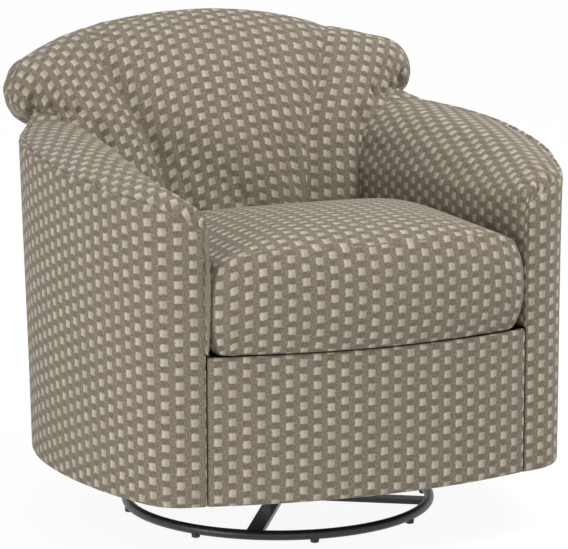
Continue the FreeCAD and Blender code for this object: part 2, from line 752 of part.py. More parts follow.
roll_space = roll(fit)
band = band.cut(above_seam).cut(tip_cutter(1)).cut(tip_cutter(-1)).cut(roll_space)
rear_box = Part.makeBox(2 * val("rear_seam"), far, far, Vec(-val("rear_seam"), 0, 0))
right_box = Part.makeBox(far, 2 * far, far, Vec(0, -far, 0))
left_box = Part.makeBox(far, 2 * far, far, Vec(-far, -far, 0))


def largest(shape):
    return max(shape.Solids, key=lambda solid: solid.Volume)


def hemmed(solid):
    """Rounds the outer bottom edges, as the padded cover turns under the frame."""
    outer, front = half_plan(0, shell_low)
    outline = Part.Wire(Part.__sortEdges__(outer + mirrored(outer)))
    edges = [e for e in solid.Edges if e.BoundBox.ZMax < shell_low + 0.01
             and outline.distToShape(Part.Vertex(e.valueAt((e.FirstParameter + e.LastParameter) / 2)))[0] < 0.05]
    return solid.makeFillet(val("hem_radius"), edges)


side_band = band.cut(rear_box)
panel_right = hemmed(largest(side_band.common(right_box)))
panel_left = hemmed(largest(side_band.common(left_box)))
outside_back = hemmed(largest(band.common(rear_box)))
keep(feature("outside_panel_left", panel_left), "outside_panel_left")
keep(feature("outside_panel_right", panel_right), "outside_panel_right")
keep(feature("outside_back", outside_back), "outside_back")

# Front border under the cushion, bowed, and the bowed rail behind it


def bowed(label, inset, thick, half, low, height):
    outer = cylinder(label + "_outer", "1", height, "0", "0", low)
    inner = cylinder(label + "_inner", "1", height, "0", "0", low)
    for obj, offset in ((outer, inset), (inner, inset + " + " + thick)):
        bind(obj, Radius="(seam_half ^ 2 + front_bow ^ 2) / (2 * front_bow) - (" + offset + ")")
        place(obj, "0", "(seam_half ^ 2 + front_bow ^ 2) / (2 * front_bow) - seam_depth - front_bow", low)
    clip = box(label + "_clip", "-(" + half + ")", "-2 * seam_depth", low, "2 * (" + half + ")",
               "2 * seam_depth", height)
    return common(label, cut(label + "_curve", outer, inner), clip)


border = bowed("front_border", "0", "cover_thick", "seam_half - fit_gap", "shell_low",
               "cushion_low - shell_low - 1")
keep(border, "front_border")
front_rail = bowed("front_rail", "cover_thick + fit_gap", "board", "frame_half", "frame_low",
                   "seat_frame_top - frame_low")
keep(front_rail, "front_rail")

# Hardwood frame

for side, x in (("left", "-frame_half - board"), ("right", "frame_half")):
    keep(box("side_rail_" + side, x, "arm_post_front", "frame_low", "board",
             "back_rail_front - arm_post_front", "seat_frame_top - frame_low"), "side_rail_" + side)

back_rail_blank = box("back_rail_blank", "-frame_half - board", "back_rail_front", "frame_low",
                      "2 * (frame_half + board)", "board", "seat_frame_top - frame_low")
cleat_blank = box("cleat_blank", "-frame_half", cleat_front, "frame_low", "2 * frame_half", "cleat_width", "cleat_high")
doc.recompute()
bolt_shanks = group("bolt_shanks", [cylinder("bolt_hole", "bolt_dia / 2", bolt_len, x, y, "frame_low")
                                    for x in (bolt_x, "-(" + bolt_x + ")") for y in (bolt_front, bolt_rear)])
keep(cut("back_rail", back_rail_blank, bolt_shanks), "back_rail")
keep(cut("front_cleat", cleat_blank, bolt_shanks), "front_cleat")

# Arm posts and arm rails are sawn to the inside of the cover where it closes in
cover_space = feature("cover_space", flared(shell_low, shell_top, cover + fit))
for side, x in (("left", "-frame_half - board - post_width"), ("right", "frame_half + board")):
    for end, y in (("front", "arm_post_front"), ("rear", "back_rail_front - board")):
        label = "arm_post_%s_%s" % (end, side)
        blank = box(label + "_blank", x, y, "frame_low", "post_width", "board", "arm_rail_low - frame_low")
        keep(common(label, blank, cover_space), label)
    blank = box("arm_rail_%s_blank" % side, x, "arm_post_front", "arm_rail_low", "post_width",
                "back_rail_front - arm_post_front", "board")
    keep(common("arm_rail_" + side, blank, cover_space), "arm_rail_" + side)

blocks = []
for x_side in (1, -1):
    for y_side, y in ((-1, cleat_front + " + cleat_width"), (1, "back_rail_front")):
        body = new_body("corner_block")
        sk = sketch_on(body, "XY_Plane", body.Name + "_profile")
        x_leg = "-block_leg" if x_side > 0 else "block_leg"
        y_leg = "block_leg" if y_side < 0 else "-block_leg"
        polygon(sk, [("0", "0"), (x_leg, "0"), ("0", y_leg)])
        pad(body, sk, "block_high")
        z = "seat_frame_top - block_high" if y_side > 0 else "frame_low"
        blocks.append(place(body, "frame_half" if x_side > 0 else "-frame_half", y, z))
keep(group("corner_blocks", blocks), "corner_blocks")


def arc_rail(label, inner, width, low, half_angle, notches=None):
    """A flat rail sawn to the curve of the back, centred on the rear."""
    outer = bind(doc.addObject("Part::Cylinder", label + "_outer"), Height="board", Angle="2 * (" + half_angle + ")")
    hole = bind(doc.addObject("Part::Cylinder", label + "_hole"), Height="board")
    outer.Radius = inner + width
    hole.Radius = inner
    turn = FreeCAD.Rotation(Vec(0, 0, 1), 90 - doc_value(half_angle))
    outer.Placement = FreeCAD.Placement(Vec(0, back_centre.y, low), turn)
    hole.Placement = FreeCAD.Placement(Vec(0, back_centre.y, low), FreeCAD.Rotation())
    if notches:
        return keep(cut(label, cut(label + "_arc", outer, hole), group(label + "_notches", notches)), label)
    return keep(cut(label, outer, hole), label)


frame_corner = math.hypot(val("frame_half") + val("board"), val("back_rail_front") + val("board") - back_centre.y)
frame_outer = back_radius - cover - fit
arc_rail("bottom_back_rail", frame_corner + val("weld_gap"), frame_outer - frame_corner - val("weld_gap"),
         val("frame_low"), "mid_rail_angle",
         [doc.getObject("arm_post_rear_left"), doc.getObject("arm_post_rear_right")])
post_outer = frame_outer - 2
post_inner = math.sqrt(post_outer ** 2 - (val("back_post_width") / 2) ** 2) - val("board")
arc_rail("mid_back_rail", post_inner - val("mid_rail_width") - val("weld_gap"), val("mid_rail_width"),
         val("arm_rail_low") + val("board"), "mid_rail_angle")
crest_inner = post_outer - val("crest_width")
arc_rail("crest_rail", crest_inner, val("crest_width"), val("post_top"), "crest_angle")

for side, sign in (("left", 1), ("right", -1)):
    post = bind(doc.addObject("Part::Box", "back_post_" + side), Length="board", Width="back_post_width",
                Height="post_top - frame_low - board")
    angle = 90 + sign * val("back_post_angle")
    turn = FreeCAD.Rotation(Vec(0, 0, 1), angle)
    corner = turn.multVec(Vec(post_inner, -val("back_post_width") / 2, 0))
    post.Placement = FreeCAD.Placement(Vec(corner.x, back_centre.y + corner.y, val("frame_low") + val("board")), turn)
    keep(post, "back_post_" + side)

# Seat suspension: woven webbing, a deck pad over it, and the dust cover underneath

web_rear = "back_rail_front + board"
web_front = "-(seam_depth - cover_thick - board - 2)"


def webs(label, count, along_y):
    straps = []
    for i in range(count):
        if along_y:
            pitch = "(2 * frame_half - web_width) / (long_web_count + 1)"
            x = "-frame_half + (%d) * %s" % (i + 1, pitch)
            straps.append(box(label + "_strap", x, web_front, "seat_frame_top", "web_width",
                              "%s - (%s)" % (web_rear, web_front), "web_thick"))
        else:
            pitch = "(back_rail_front + seam_depth - web_width) / (cross_web_count + 1)"
            y = "-seam_depth + (%d) * %s" % (i + 1, pitch)
            straps.append(box(label + "_strap", "-frame_half - board", y, "seat_frame_top + web_thick",
                              "2 * (frame_half + board)", "web_width", "web_thick"))
    return keep(group(label, straps), label)


webs("long_webbing", int(val("long_web_count")), True)
webs("cross_webbing", int(val("cross_web_count")), False)

deck_low = val("seat_frame_top") + 2 * val("web_thick") + fit / 3
cushion_low = val("cushion_low")


def seat_plan(inset, z, bulge=0.0):
    """The cushion's outline: bowed front, sides that close in towards the back, round corners."""
    r = val("cushion_corner")
    front_half = val("cushion_half") - inset
    rear_half = val("cushion_half") - val("cushion_taper") - inset
    side_front = -val("cushion_side_front") + inset - bulge * 0.5
    apex = -val("cushion_front") + inset + bulge * -1.0 + 6
    rear = val("cushion_rear") - inset
    lean = unit(Vec(front_half, side_front, 0), Vec(rear_half, rear, 0))
    low_side = Vec(front_half, side_front, z) + lean * r
    top_side = Vec(rear_half, rear, z) - lean * r
    points = {"fl": Vec(front_half - r, side_front - r * 0.17, z), "ls": low_side, "ts": top_side,
              "rr": Vec(rear_half - r, rear, z)}
    front_mid = Vec(front_half - r * 0.24, side_front + r * 0.2, z)
    rear_mid = Vec(rear_half - r * 0.25, rear - r * 0.27, z)
    edges = [Part.Arc(flip(points["fl"]), Vec(0, apex, z), points["fl"]).toShape(),
             Part.Arc(points["fl"], front_mid, points["ls"]).toShape(),
             Part.LineSegment(points["ls"], points["ts"]).toShape(),
             Part.Arc(points["ts"], rear_mid, points["rr"]).toShape(),
             Part.LineSegment(points["rr"], flip(points["rr"])).toShape(),
             Part.Arc(flip(points["rr"]), flip(rear_mid), flip(points["ts"])).toShape(),
             Part.LineSegment(flip(points["ts"]), flip(points["ls"])).toShape(),
             Part.Arc(flip(points["ls"]), flip(front_mid), flip(points["fl"])).toShape()]
    return Part.Wire(edges)


deck = Part.makeLoft([seat_plan(val("deck_inset"), deck_low),
                      seat_plan(val("deck_inset"), deck_low + val("deck_thick"))], True, True)
keep(feature("deck_pad", deck), "deck_pad")

seam_draw = val("seam_draw")
seam_top = val("cushion_seam")
side_height = seam_top - cushion_low
block = Part.makeLoft([seat_plan(seam_draw, cushion_low), seat_plan(2, cushion_low + side_height * 0.14),
                       seat_plan(0, cushion_low + side_height * 0.5, 6),
                       seat_plan(2, cushion_low + side_height * 0.86),
                       seat_plan(seam_draw, seam_top + 2 * val("cushion_crown"))], True, False)


def crown_prism(low, peak, high, along):
    """Everything under an arc through three points, swept along one axis."""
    floor = [Vec(high.x, high.y, 0), Vec(low.x, low.y, 0)]
    edges = [Part.Arc(low, peak, high).toShape()]
    edges += [Part.LineSegment(a, b).toShape() for a, b in zip([high] + floor, floor + [low])]
    return Part.Face(Part.Wire(edges)).extrude(along)


crown_top = seam_top + val("cushion_crown")
front_edge = -val("cushion_front") - 10
rear_edge = val("cushion_rear") + 10
half_seat = val("cushion_half") + 10
along_x = crown_prism(Vec(-half_seat, front_edge, seam_top - 6), Vec(-half_seat, front_edge * 0.45, crown_top),
                      Vec(-half_seat, rear_edge, seam_top - val("cushion_dip")), Vec(2 * half_seat, 0, 0))
seam_side = seam_top - val("cushion_fall")
along_y = crown_prism(Vec(-half_seat, front_edge, seam_side), Vec(0, front_edge, crown_top + 2),
                      Vec(half_seat, front_edge, seam_side), Vec(0, rear_edge - front_edge, 0))
cushion = block.common(along_x).common(along_y).removeSplitter()
keep(feature("seat_cushion", cushion), "seat_cushion")

under = flared(shell_low + 2.5, shell_low + 4.5, cover + fit * 2)
hole_half = doc_value(leg_in + " + rail_flange") + 4
hole_front = doc_value(rail_front) - 10
hole_rear = doc_value(rail_rear) + 6
mechanism_hole = Part.makeBox(2 * hole_half, hole_rear - hole_front, 20, Vec(-hole_half, hole_front, shell_low))
keep(feature("dust_cover", under.cut(mechanism_hole)), "dust_cover")

# Back pad: a leaning middle, two wings turned forward at the sewn channels, and the roll with its ears

roll_lean = math.radians(val("roll_lean"))
lean_out = Vec(0, -math.cos(roll_lean), math.sin(roll_lean))
foot = Vec(0, val("back_foot"), val("back_low"))
knee = Vec(0, val("back_knee"), val("back_knee_high"))
top = crown + lean_out * val("roll_radius")


def back_wire(x, foot, knee, top):
    """The pad's side profile at x: two rising curves in front, the frame's line behind."""
    low_mid = Vec(x, foot.y + (knee.y - foot.y) * 0.36, (foot.z + knee.z) / 2 + 14)
    high_mid = Vec(x, knee.y + (top.y - knee.y) * 0.46, knee.z + (top.z - knee.z) * 0.52)
    rear_top = Vec(x, top.y + 24, top.z - 20)
    rear_mid = Vec(x, top.y + 24, val("arm_rail_low") + val("board"))
    rear_low = Vec(x, foot.y + 90, foot.z)
    foot, knee, top = [Vec(x, p.y, p.z) for p in (foot, knee, top)]
    edges = [Part.Arc(foot, low_mid, knee).toShape(), Part.Arc(knee, high_mid, top).toShape()]
    corners = [top, rear_top, rear_mid, rear_low, foot]
    edges += [Part.LineSegment(a, b).toShape() for a, b in zip(corners, corners[1:])]
    return Part.Wire(edges)


wing_from = val("wing_from")
ear_foot = foot - Vec(0, val("wing_foot"), 0)
ear_knee = knee - Vec(0, val("wing_knee"), 0)
ear_top = ear + lean_out * val("ear_radius")


def wing(side):
    return Part.makeLoft([back_wire(side * wing_from, foot, knee, top),
                          back_wire(side * ear.x, ear_foot, ear_knee, ear_top)], True, True)


middle = Part.Face(back_wire(-wing_from, foot, knee, top)).extrude(Vec(2 * wing_from, 0, 0))
slab = middle.fuse([wing(1), wing(-1)])
ear_x = val("ear_half")
inner_low = val("cushion_half") - val("cushion_taper") - 8
outline_points = [(inner_low, val("back_low") - 1), (inner_low + 4, seam_top - 40), (ear_x - 12, val("ear_high") - 48),
                  (ear_x - 12, val("ear_high") + 60), (0, top.z + 30)]
outline = outline_points + [(-x, z) for x, z in reversed(outline_points[:-1])]
slab = slab.common(front_cutter(outline, -far, far))
inside = Part.makeCylinder(crest_inner - fit, val("post_top") + val("board") + fit - val("back_low") + 1,
                           Vec(0, back_centre.y, val("back_low") - 1))
crest_top = val("post_top") + val("board") + fit
over = Part.makeCylinder(crest_inner + val("crest_width") / 2, far, Vec(0, back_centre.y, crest_top))
slab = slab.common(inside.fuse(over))
back_pad = slab.fuse(roll(0)).removeSplitter()


def channel(side):
    """A groove down the fold between the middle and a wing, over the top of the roll."""
    points = [Vec(side * wing_from, foot.y - 1, foot.z - 10), Vec(side * wing_from, knee.y - 1, knee.z),
              Vec(side * wing_from, top.y - 2, top.z)]
    path = Part.Wire(Part.Arc(*points).toShape())
    edge = path.Edges[0]
    disc = Part.Wire(Part.Circle(points[0], edge.tangentAt(edge.FirstParameter), val("channel_radius")).toShape())
    groove = path.makePipeShell([disc], True, False)
    arch = Part.Arc(flip(ear), crown, ear).toShape()
    at = arch.Curve.parameter(Vec(side * wing_from, crown.y, crown.z))
    swell = (wing_from / ear.x) ** 2
    round_r = val("roll_radius") + (val("ear_radius") - val("roll_radius")) * swell
    return groove, Part.makeTorus(round_r + 1, val("channel_radius"), arch.valueAt(at), arch.tangentAt(at))


for side in (1, -1):
    for groove in channel(side):
        back_pad = back_pad.cut(groove)
doc.recompute()
for name in ("crest_rail", "mid_back_rail", "back_post_left", "back_post_right"):
    back_pad = back_pad.cut(doc.getObject(name).Shape)
back_pad = largest(back_pad)
keep(feature("back_pad", back_pad), "back_pad")

# Arm pads: a soft inner wall that rolls over the arm rail and meets the outside panel at the seam

slab_out = val("frame_half") + val("board") - fit
arm_low = val("arm_pad_low")
climb = math.tan(math.radians(val("arm_climb")))


def inner_x(y):
    """Inner face of the arm, a little clear of the cushion's side."""
    run = val("cushion_rear") + val("cushion_side_front")
    share = (y + val("cushion_side_front")) / run
    return val("cushion_half") + val("cushion_gap") - val("cushion_taper") * share


def arm_section(y, drop):
    x = inner_x(y)
    crest = val("arm_crest") + y * climb - drop
    edge = min(seam_z(y), crest + drop) - drop
    roll_w = val("arm_roll")
    a = Vec(x, y, arm_low)
    b = Vec(x - 1, y, (arm_low + crest) / 2 - 20)
    c = Vec(x + 4, y, crest - 42)
    d = Vec(x + roll_w * 0.34, y, crest - 8)
    e = Vec(x + roll_w, y, crest)
    f_mid = Vec((x + roll_w + val("shell_half")) / 2 + 6, y, (crest * 2 + edge) / 3 + 1)
    f = Vec(val("shell_half") + 24, y, edge - 4)
    g = Vec(f.x, y, tip_z - 8)
    i = Vec(slab_out, y, tip_z - 8)
    k = Vec(slab_out, y, arm_low)
    edges = [Part.Arc(a, b, c).toShape(), Part.Arc(c, d, e).toShape(), Part.Arc(e, f_mid, f).toShape()]
    edges += [Part.LineSegment(p, q).toShape() for p, q in ((f, g), (g, i), (i, k), (k, a))]
    return Part.Wire(edges)


nose = val("arm_nose")
front_y = -val("seam_depth")
stations = [(front_y - 30, nose), (front_y + 8, nose * 0.42), (front_y + 60, nose * 0.12), (front_y + 190, 0),
            (20, 0), (180, 0), (300, 0)]
arm_loft = Part.makeLoft([arm_section(y, drop) for y, drop in stations], True, False)
hollow_from = val("arm_post_front") - 1.5
rail_top = val("arm_rail_low") + val("board") + fit
hollow = side_cutter([(hollow_from, arm_low - 10), (far, arm_low - 10), (far, rail_top + val("board")),
                      (val("back_rail_front"), rail_top + val("board")), (hollow_from, rail_top)],
                     slab_out, far)
inside_cover = flared(arm_low - 5, shell_top, 0)
behind = Part.makeBox(far, far, rail_top - arm_low, Vec(0, val("arm_rear"), arm_low - 10))
arm_right = arm_loft.cut(hollow).cut(behind).common(inside_cover).cut(panel_right).cut(outside_back)
arm_right = arm_right.cut(back_pad).cut(roll_space)
for name in ("mid_back_rail", "back_post_right"):
    arm_right = arm_right.cut(doc.getObject(name).Shape)
arm_right = largest(arm_right)
arm_left = arm_right.mirror(Vec(), Vec(1, 0, 0))
keep(feature("arm_pad_left", arm_left), "arm_pad_left")
keep(feature("arm_pad_right", arm_right), "arm_pad_right")

# Check every object, then write one file for each sub-part

doc.removeObject(probe.Name)
doc.recompute()
problems = []
for obj in doc.Objects:
    if "Invalid" in obj.State or "Error" in obj.State:
        problems.append("%s is in error" % obj.Label)
for obj in nodes:
    if obj.Shape.isNull() or not obj.Shape.isValid():
        problems.append("%s has a bad shape" % obj.Label)
if problems:
    raise RuntimeError("; ".join(problems))
os.makedirs("parts", exist_ok=True)
for obj in nodes:
    obj.Shape.exportStep(os.path.join("parts", obj.Label + ".step"))
print("%d sub-parts written" % len(nodes))
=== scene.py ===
import json
import math
import bmesh
import bpy
import numpy as np
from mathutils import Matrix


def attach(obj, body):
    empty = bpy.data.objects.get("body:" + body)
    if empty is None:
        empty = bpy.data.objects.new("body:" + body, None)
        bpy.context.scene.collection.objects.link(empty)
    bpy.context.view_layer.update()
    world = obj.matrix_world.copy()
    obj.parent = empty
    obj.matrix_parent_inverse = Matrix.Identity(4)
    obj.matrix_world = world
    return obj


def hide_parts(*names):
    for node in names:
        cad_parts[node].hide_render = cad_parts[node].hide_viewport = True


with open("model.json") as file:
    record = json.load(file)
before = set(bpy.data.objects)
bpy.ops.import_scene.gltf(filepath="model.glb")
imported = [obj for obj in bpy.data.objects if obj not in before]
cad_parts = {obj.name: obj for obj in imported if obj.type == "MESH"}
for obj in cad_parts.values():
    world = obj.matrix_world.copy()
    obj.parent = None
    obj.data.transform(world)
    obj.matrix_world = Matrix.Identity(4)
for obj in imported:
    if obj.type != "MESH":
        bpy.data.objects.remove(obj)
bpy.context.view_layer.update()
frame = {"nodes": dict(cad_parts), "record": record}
scene = bpy.context.scene
nodes = frame["nodes"]
print("frame loaded:", len(nodes), "nodes")


# small helpers, all lengths in metres

def smooth(x, low, high):
    # 0 below low, 1 above high, an S curve between
    t = np.clip((x - low) / (high - low), 0, 1)
    return t * t * (3 - 2 * t)


def rollIn(dist, edge):
    # how far a cover turns in at a distance from its seam: a quarter round of radius edge
    t = np.clip(1 - dist / edge, 0, 1)
    return edge * (1 - np.sqrt(np.clip(1 - t * t, 0, 1)))


def gridNormals(p):
    # cross product of the two grid directions at each point
    n = np.cross(np.gradient(p, axis=0), np.gradient(p, axis=1))
    return n / np.maximum(np.linalg.norm(n, axis=2, keepdims=True), 1e-9)


def along(p, axis):
    # length run along one direction of a grid, from its start
    step = np.linalg.norm(np.diff(p, axis=axis), axis=2)
    pad = [(0, 0), (0, 0)]
    pad[axis] = (1, 0)
    return np.cumsum(np.pad(step, pad), axis=axis)


def gridFaces(rows, cols, first):
    i = np.arange(rows * cols).reshape(rows, cols) + first
    return np.stack([i[:-1, :-1], i[:-1, 1:], i[1:, 1:], i[1:, :-1]], axis=-1).reshape(-1, 4)


def rowsOf(items, key, width, kind=np.float32):
    # one property of all vertices, corners or faces, a row each
    values = np.zeros(len(items) * width, kind)
    items.foreach_get(key, values)
    return values.reshape(-1, width)


def bareUv(p):
    # no pattern coordinates yet, see patternLids
    return np.zeros(p.shape[:2] + (2,))


def patternLids(mesh):
    # faces without pattern coordinates take their side view, depth and height
    layer = mesh.uv_layers["weave"].data
    uv = rowsOf(layer, "uv", 2)
    at = rowsOf(mesh.loops, "vertex_index", 1, np.int32)[:, 0]
    bare = np.abs(uv).sum(axis=1) == 0
    uv[bare] = rowsOf(mesh.vertices, "co", 3)[at[bare], 1:]
    layer.foreach_set("uv", uv.ravel())


def sewn(name, panels, closed=True):
    # one mesh from several grids of points and pattern coordinates; edges that meet are sewn together
    verts, faces, uvs = [], [], []
    first = 0
    for p, uv in panels:
        verts.append(p.reshape(-1, 3))
        uvs.append(uv.reshape(-1, 2))
        faces.append(gridFaces(p.shape[0], p.shape[1], first))
        first += p.shape[0] * p.shape[1]
    verts, faces, uvs = np.concatenate(verts), np.concatenate(faces), np.concatenate(uvs)
    mesh = bpy.data.meshes.new(name)
    mesh.from_pydata(verts.tolist(), [], faces.tolist())
    layer = mesh.uv_layers.new(name="weave")
    layer.data.foreach_set("uv", uvs[faces.ravel()].astype(np.float32).ravel())
    bm = bmesh.new()
    bm.from_mesh(mesh)
    bmesh.ops.remove_doubles(bm, verts=bm.verts, dist=2e-5)
    bmesh.ops.dissolve_degenerate(bm, edges=bm.edges, dist=1e-6)
    if closed:
        lids = bmesh.ops.holes_fill(bm, edges=[e for e in bm.edges if e.is_boundary], sides=0)["faces"]
        bmesh.ops.triangulate(bm, faces=lids)
    bmesh.ops.recalc_face_normals(bm, faces=bm.faces)
    bm.to_mesh(mesh)
    bm.free()
    if closed:
        patternLids(mesh)
    mesh.polygons.foreach_set("use_smooth", [True] * len(mesh.polygons))
    obj = bpy.data.objects.new(name, mesh)
    scene.collection.objects.link(obj)
    return obj


def coords(obj):
    return rowsOf(obj.data.vertices, "co", 3).astype(float)


def setCoords(obj, co):
    obj.data.vertices.foreach_set("co", co.astype(np.float32).ravel())
    obj.data.update()


def nearTo(p, points, within):
    # which of p lie close to any of the points
    return np.min([np.linalg.norm(p - q, axis=1) for q in points], axis=0) < within


def puff(obj, pinned, k):
    # cloth blown up a little from inside, held where pinned; no point moves further than the piece's limit
    rest = coords(obj)
    group = obj.vertex_groups.new(name="held")
    held = np.nonzero(pinned(rest))[0]
    group.add(held.tolist(), 1.0, "REPLACE")
    sim = obj.modifiers.new("cloth", "CLOTH")
    s = sim.settings
    s.quality = 5
    s.mass = 0.3
    s.tension_stiffness = s.compression_stiffness = 25
    s.shear_stiffness = 12
    s.bending_stiffness = 1.0
    s.use_pressure = True
    s.uniform_pressure_force = k["pressure"]
    s.vertex_group_mass = "held"
    s.effector_weights.gravity = 0
    sim.collision_settings.use_collision = False
    sim.point_cache.frame_end = k["frames"]
    for f in range(1, k["frames"] + 1):
        scene.frame_set(f)
    shaped = obj.evaluated_get(bpy.context.evaluated_depsgraph_get())
    step = rowsOf(shaped.data.vertices, "co", 3) - rest
    size = np.linalg.norm(step, axis=1, keepdims=True)
    obj.modifiers.remove(sim)
    obj.vertex_groups.remove(group)
    setCoords(obj, rest + step * np.minimum(1, k["limit"] / np.maximum(size, 1e-9)))
    scene.frame_set(1)
    print("puffed", obj.name, "held", len(held), "most", round(float(size.max()) * 1000, 1), "mm")


def creased(obj, depth):
    # narrow folds pressed in once the cloth has settled; depth takes the distance from the middle, y and z
    co = coords(obj)
    n = rowsOf(obj.data.vertices, "normal", 3)
    setCoords(obj, co - n * depth(np.abs(co[:, 0]), co[:, 1], co[:, 2])[:, None])


def subdivided(obj):
    m = obj.modifiers.new("subsurf", "SUBSURF")
    m.levels = m.render_levels = 1


# cover fabric: dropped columns of pale blocks on a taupe ground; each block has a painted highlight on its left side
# and painted shade on its right

cloth = {"column": 0.0221, "repeat": 0.0222, "drop": -0.385, "block": 0.262, "soft": 0.07, "thread": 0.0015,
         "ground": (0.290, 0.250, 0.190), "groundDark": (0.132, 0.111, 0.080), "between": (0.116, 0.094, 0.068),
         # the two pale colours are lit and shaded copies of the block: the first is its painted highlight, the second
         # its painted shade
         "pale": (0.590, 0.530, 0.430), "palePaintedShade": (0.380, 0.337, 0.265), "worn": (0.30, 0.255, 0.20),
         "wobble": 0.16, "ribs": 0.16, "darken": 0.42, "relief": 0.0011,
         "wobblePitch": (260, 260, 1), "fuzzPitch": (900, 900, 1), "heatherPitch": (430, 240, 1),
         "slowPitch": (9, 9, 1)}


def newGroup(name, given, outs):
    # a node group with one vector in and several numbers out
    g = bpy.data.node_groups.new(name, "ShaderNodeTree")
    g.interface.new_socket(given, in_out="INPUT", socket_type="NodeSocketVector")
    for label in outs:
        g.interface.new_socket(label, in_out="OUTPUT", socket_type="NodeSocketFloat")
    return g, g.nodes.new("NodeGroupInput"), g.nodes.new("NodeGroupOutput")


class Wires:
    # short ways to add and join nodes in one tree
    def __init__(self, tree):
        self.tree = tree

    def put(self, socket, value):
        if hasattr(value, "is_output"):
            self.tree.links.new(value, socket)
        else:
            socket.default_value = value

    def math(self, op, a, b=0.0, clamp=False):
        n = self.tree.nodes.new("ShaderNodeMath")
        n.operation = op
        n.use_clamp = clamp
        self.put(n.inputs[0], a)
        self.put(n.inputs[1], b)
        return n.outputs[0]

    def ramp(self, value, low, high, to0=0.0, to1=1.0):
        n = self.tree.nodes.new("ShaderNodeMapRange")
        n.interpolation_type = "SMOOTHSTEP"
        for i, x in enumerate((value, low, high, to0, to1)):
            self.put(n.inputs[i], x)
        return n.outputs[0]

    def noise(self, vector, scale, detail=2.0, rough=0.5):
        n = self.tree.nodes.new("ShaderNodeTexNoise")
        self.put(n.inputs["Vector"], vector)
        n.inputs["Scale"].default_value = scale
        n.inputs["Detail"].default_value = detail
        n.inputs["Roughness"].default_value = rough
        return n.outputs[0]

    def mix(self, factor, a, b):
        n = self.tree.nodes.new("ShaderNodeMix")
        n.data_type = "RGBA"
        self.put(n.inputs[0], factor)
        for socket, x in ((n.inputs[6], a), (n.inputs[7], b)):
            self.put(socket, x if hasattr(x, "is_output") else (*x, 1.0))
        return n.outputs[2]

    def vector(self, x, y, z=0.0):
        n = self.tree.nodes.new("ShaderNodeCombineXYZ")
        for i, v in enumerate((x, y, z)):
            self.put(n.inputs[i], v)
        return n.outputs[0]

    def scaled(self, vector, by):
        n = self.tree.nodes.new("ShaderNodeVectorMath")
        n.operation = "MULTIPLY"
        self.put(n.inputs[0], vector)
        n.inputs[1].default_value = by
        return n.outputs[0]


def blockWeave():
    # u runs across the columns and v along them; each column is dropped by a share of the repeat
    outs = ("Block", "Bright", "Vary", "Thread", "Height", "Between")
    g, start, end = newGroup("blockWeave", "Pattern", outs)
    w = Wires(g)
    split = g.nodes.new("ShaderNodeSeparateXYZ")
    g.links.new(start.outputs[0], split.inputs[0])
    u, v = split.outputs[0], split.outputs[1]
    wobble = w.noise(w.scaled(start.outputs[0], cloth["wobblePitch"]), 1.0, 1.0)
    wob = w.math("MULTIPLY", w.math("SUBTRACT", wobble, 0.5), cloth["wobble"])
    cu = w.math("DIVIDE", u, cloth["column"])
    col = w.math("FLOOR", cu)
    fu = w.math("SUBTRACT", w.math("SUBTRACT", cu, col), 0.5)
    cv = w.math("ADD", w.math("DIVIDE", v, cloth["repeat"]), w.math("MULTIPLY", col, cloth["drop"]))
    row = w.math("FLOOR", cv)
    fv = w.math("SUBTRACT", w.math("SUBTRACT", cv, row), 0.5)
    dx = w.math("ADD", w.math("ABSOLUTE", fu), wob)
    dy = w.math("ADD", w.math("ABSOLUTE", fv), wob)
    half = cloth["block"]
    soft = cloth["soft"]
    block = w.math("MULTIPLY", w.ramp(dx, half + soft, half - soft), w.ramp(dy, half + soft, half - soft))
    cell = g.nodes.new("ShaderNodeTexWhiteNoise")
    cell.noise_dimensions = "2D"
    g.links.new(w.vector(col, row), cell.inputs["Vector"])
    # painted highlight: the left part of each block is painted lighter and the right part darker, as if light from the
    # left fell on a raised block
    paintedHighlight = w.ramp(fu, 0.12, -0.18)
    warp = w.math("SINE", w.math("MULTIPLY", u, 2 * math.pi / cloth["thread"]))
    weft = w.math("SINE", w.math("MULTIPLY", v, 2 * math.pi / (cloth["thread"] * 0.9)))
    fuzz = w.noise(w.scaled(start.outputs[0], cloth["fuzzPitch"]), 1.0, 2.0, 0.6)
    ribs = w.math("MULTIPLY", w.math("ADD", warp, weft), cloth["ribs"])
    thread = w.math("ADD", ribs, fuzz)
    inColumn = w.ramp(w.math("ABSOLUTE", fu), half + 0.05, half - 0.05)
    raised = w.math("MULTIPLY", inColumn, w.ramp(w.math("ABSOLUTE", fv), half + 0.04, half - 0.06))
    height = w.math("ADD", w.math("MULTIPLY", ribs, 0.55), w.math("MULTIPLY", raised, 0.6))
    between = w.math("MULTIPLY", inColumn, w.math("SUBTRACT", 1.0, block))
    for i, x in enumerate((block, paintedHighlight, cell.outputs["Value"], thread, height, between)):
        g.links.new(x, end.inputs[i])
    return g


weaveGroup = blockWeave()


def newMaterial(name):
    m = bpy.data.materials.new(name)
    m.use_nodes = True
    bsdf = m.node_tree.nodes["Principled BSDF"]
    return m, m.node_tree, bsdf, Wires(m.node_tree)


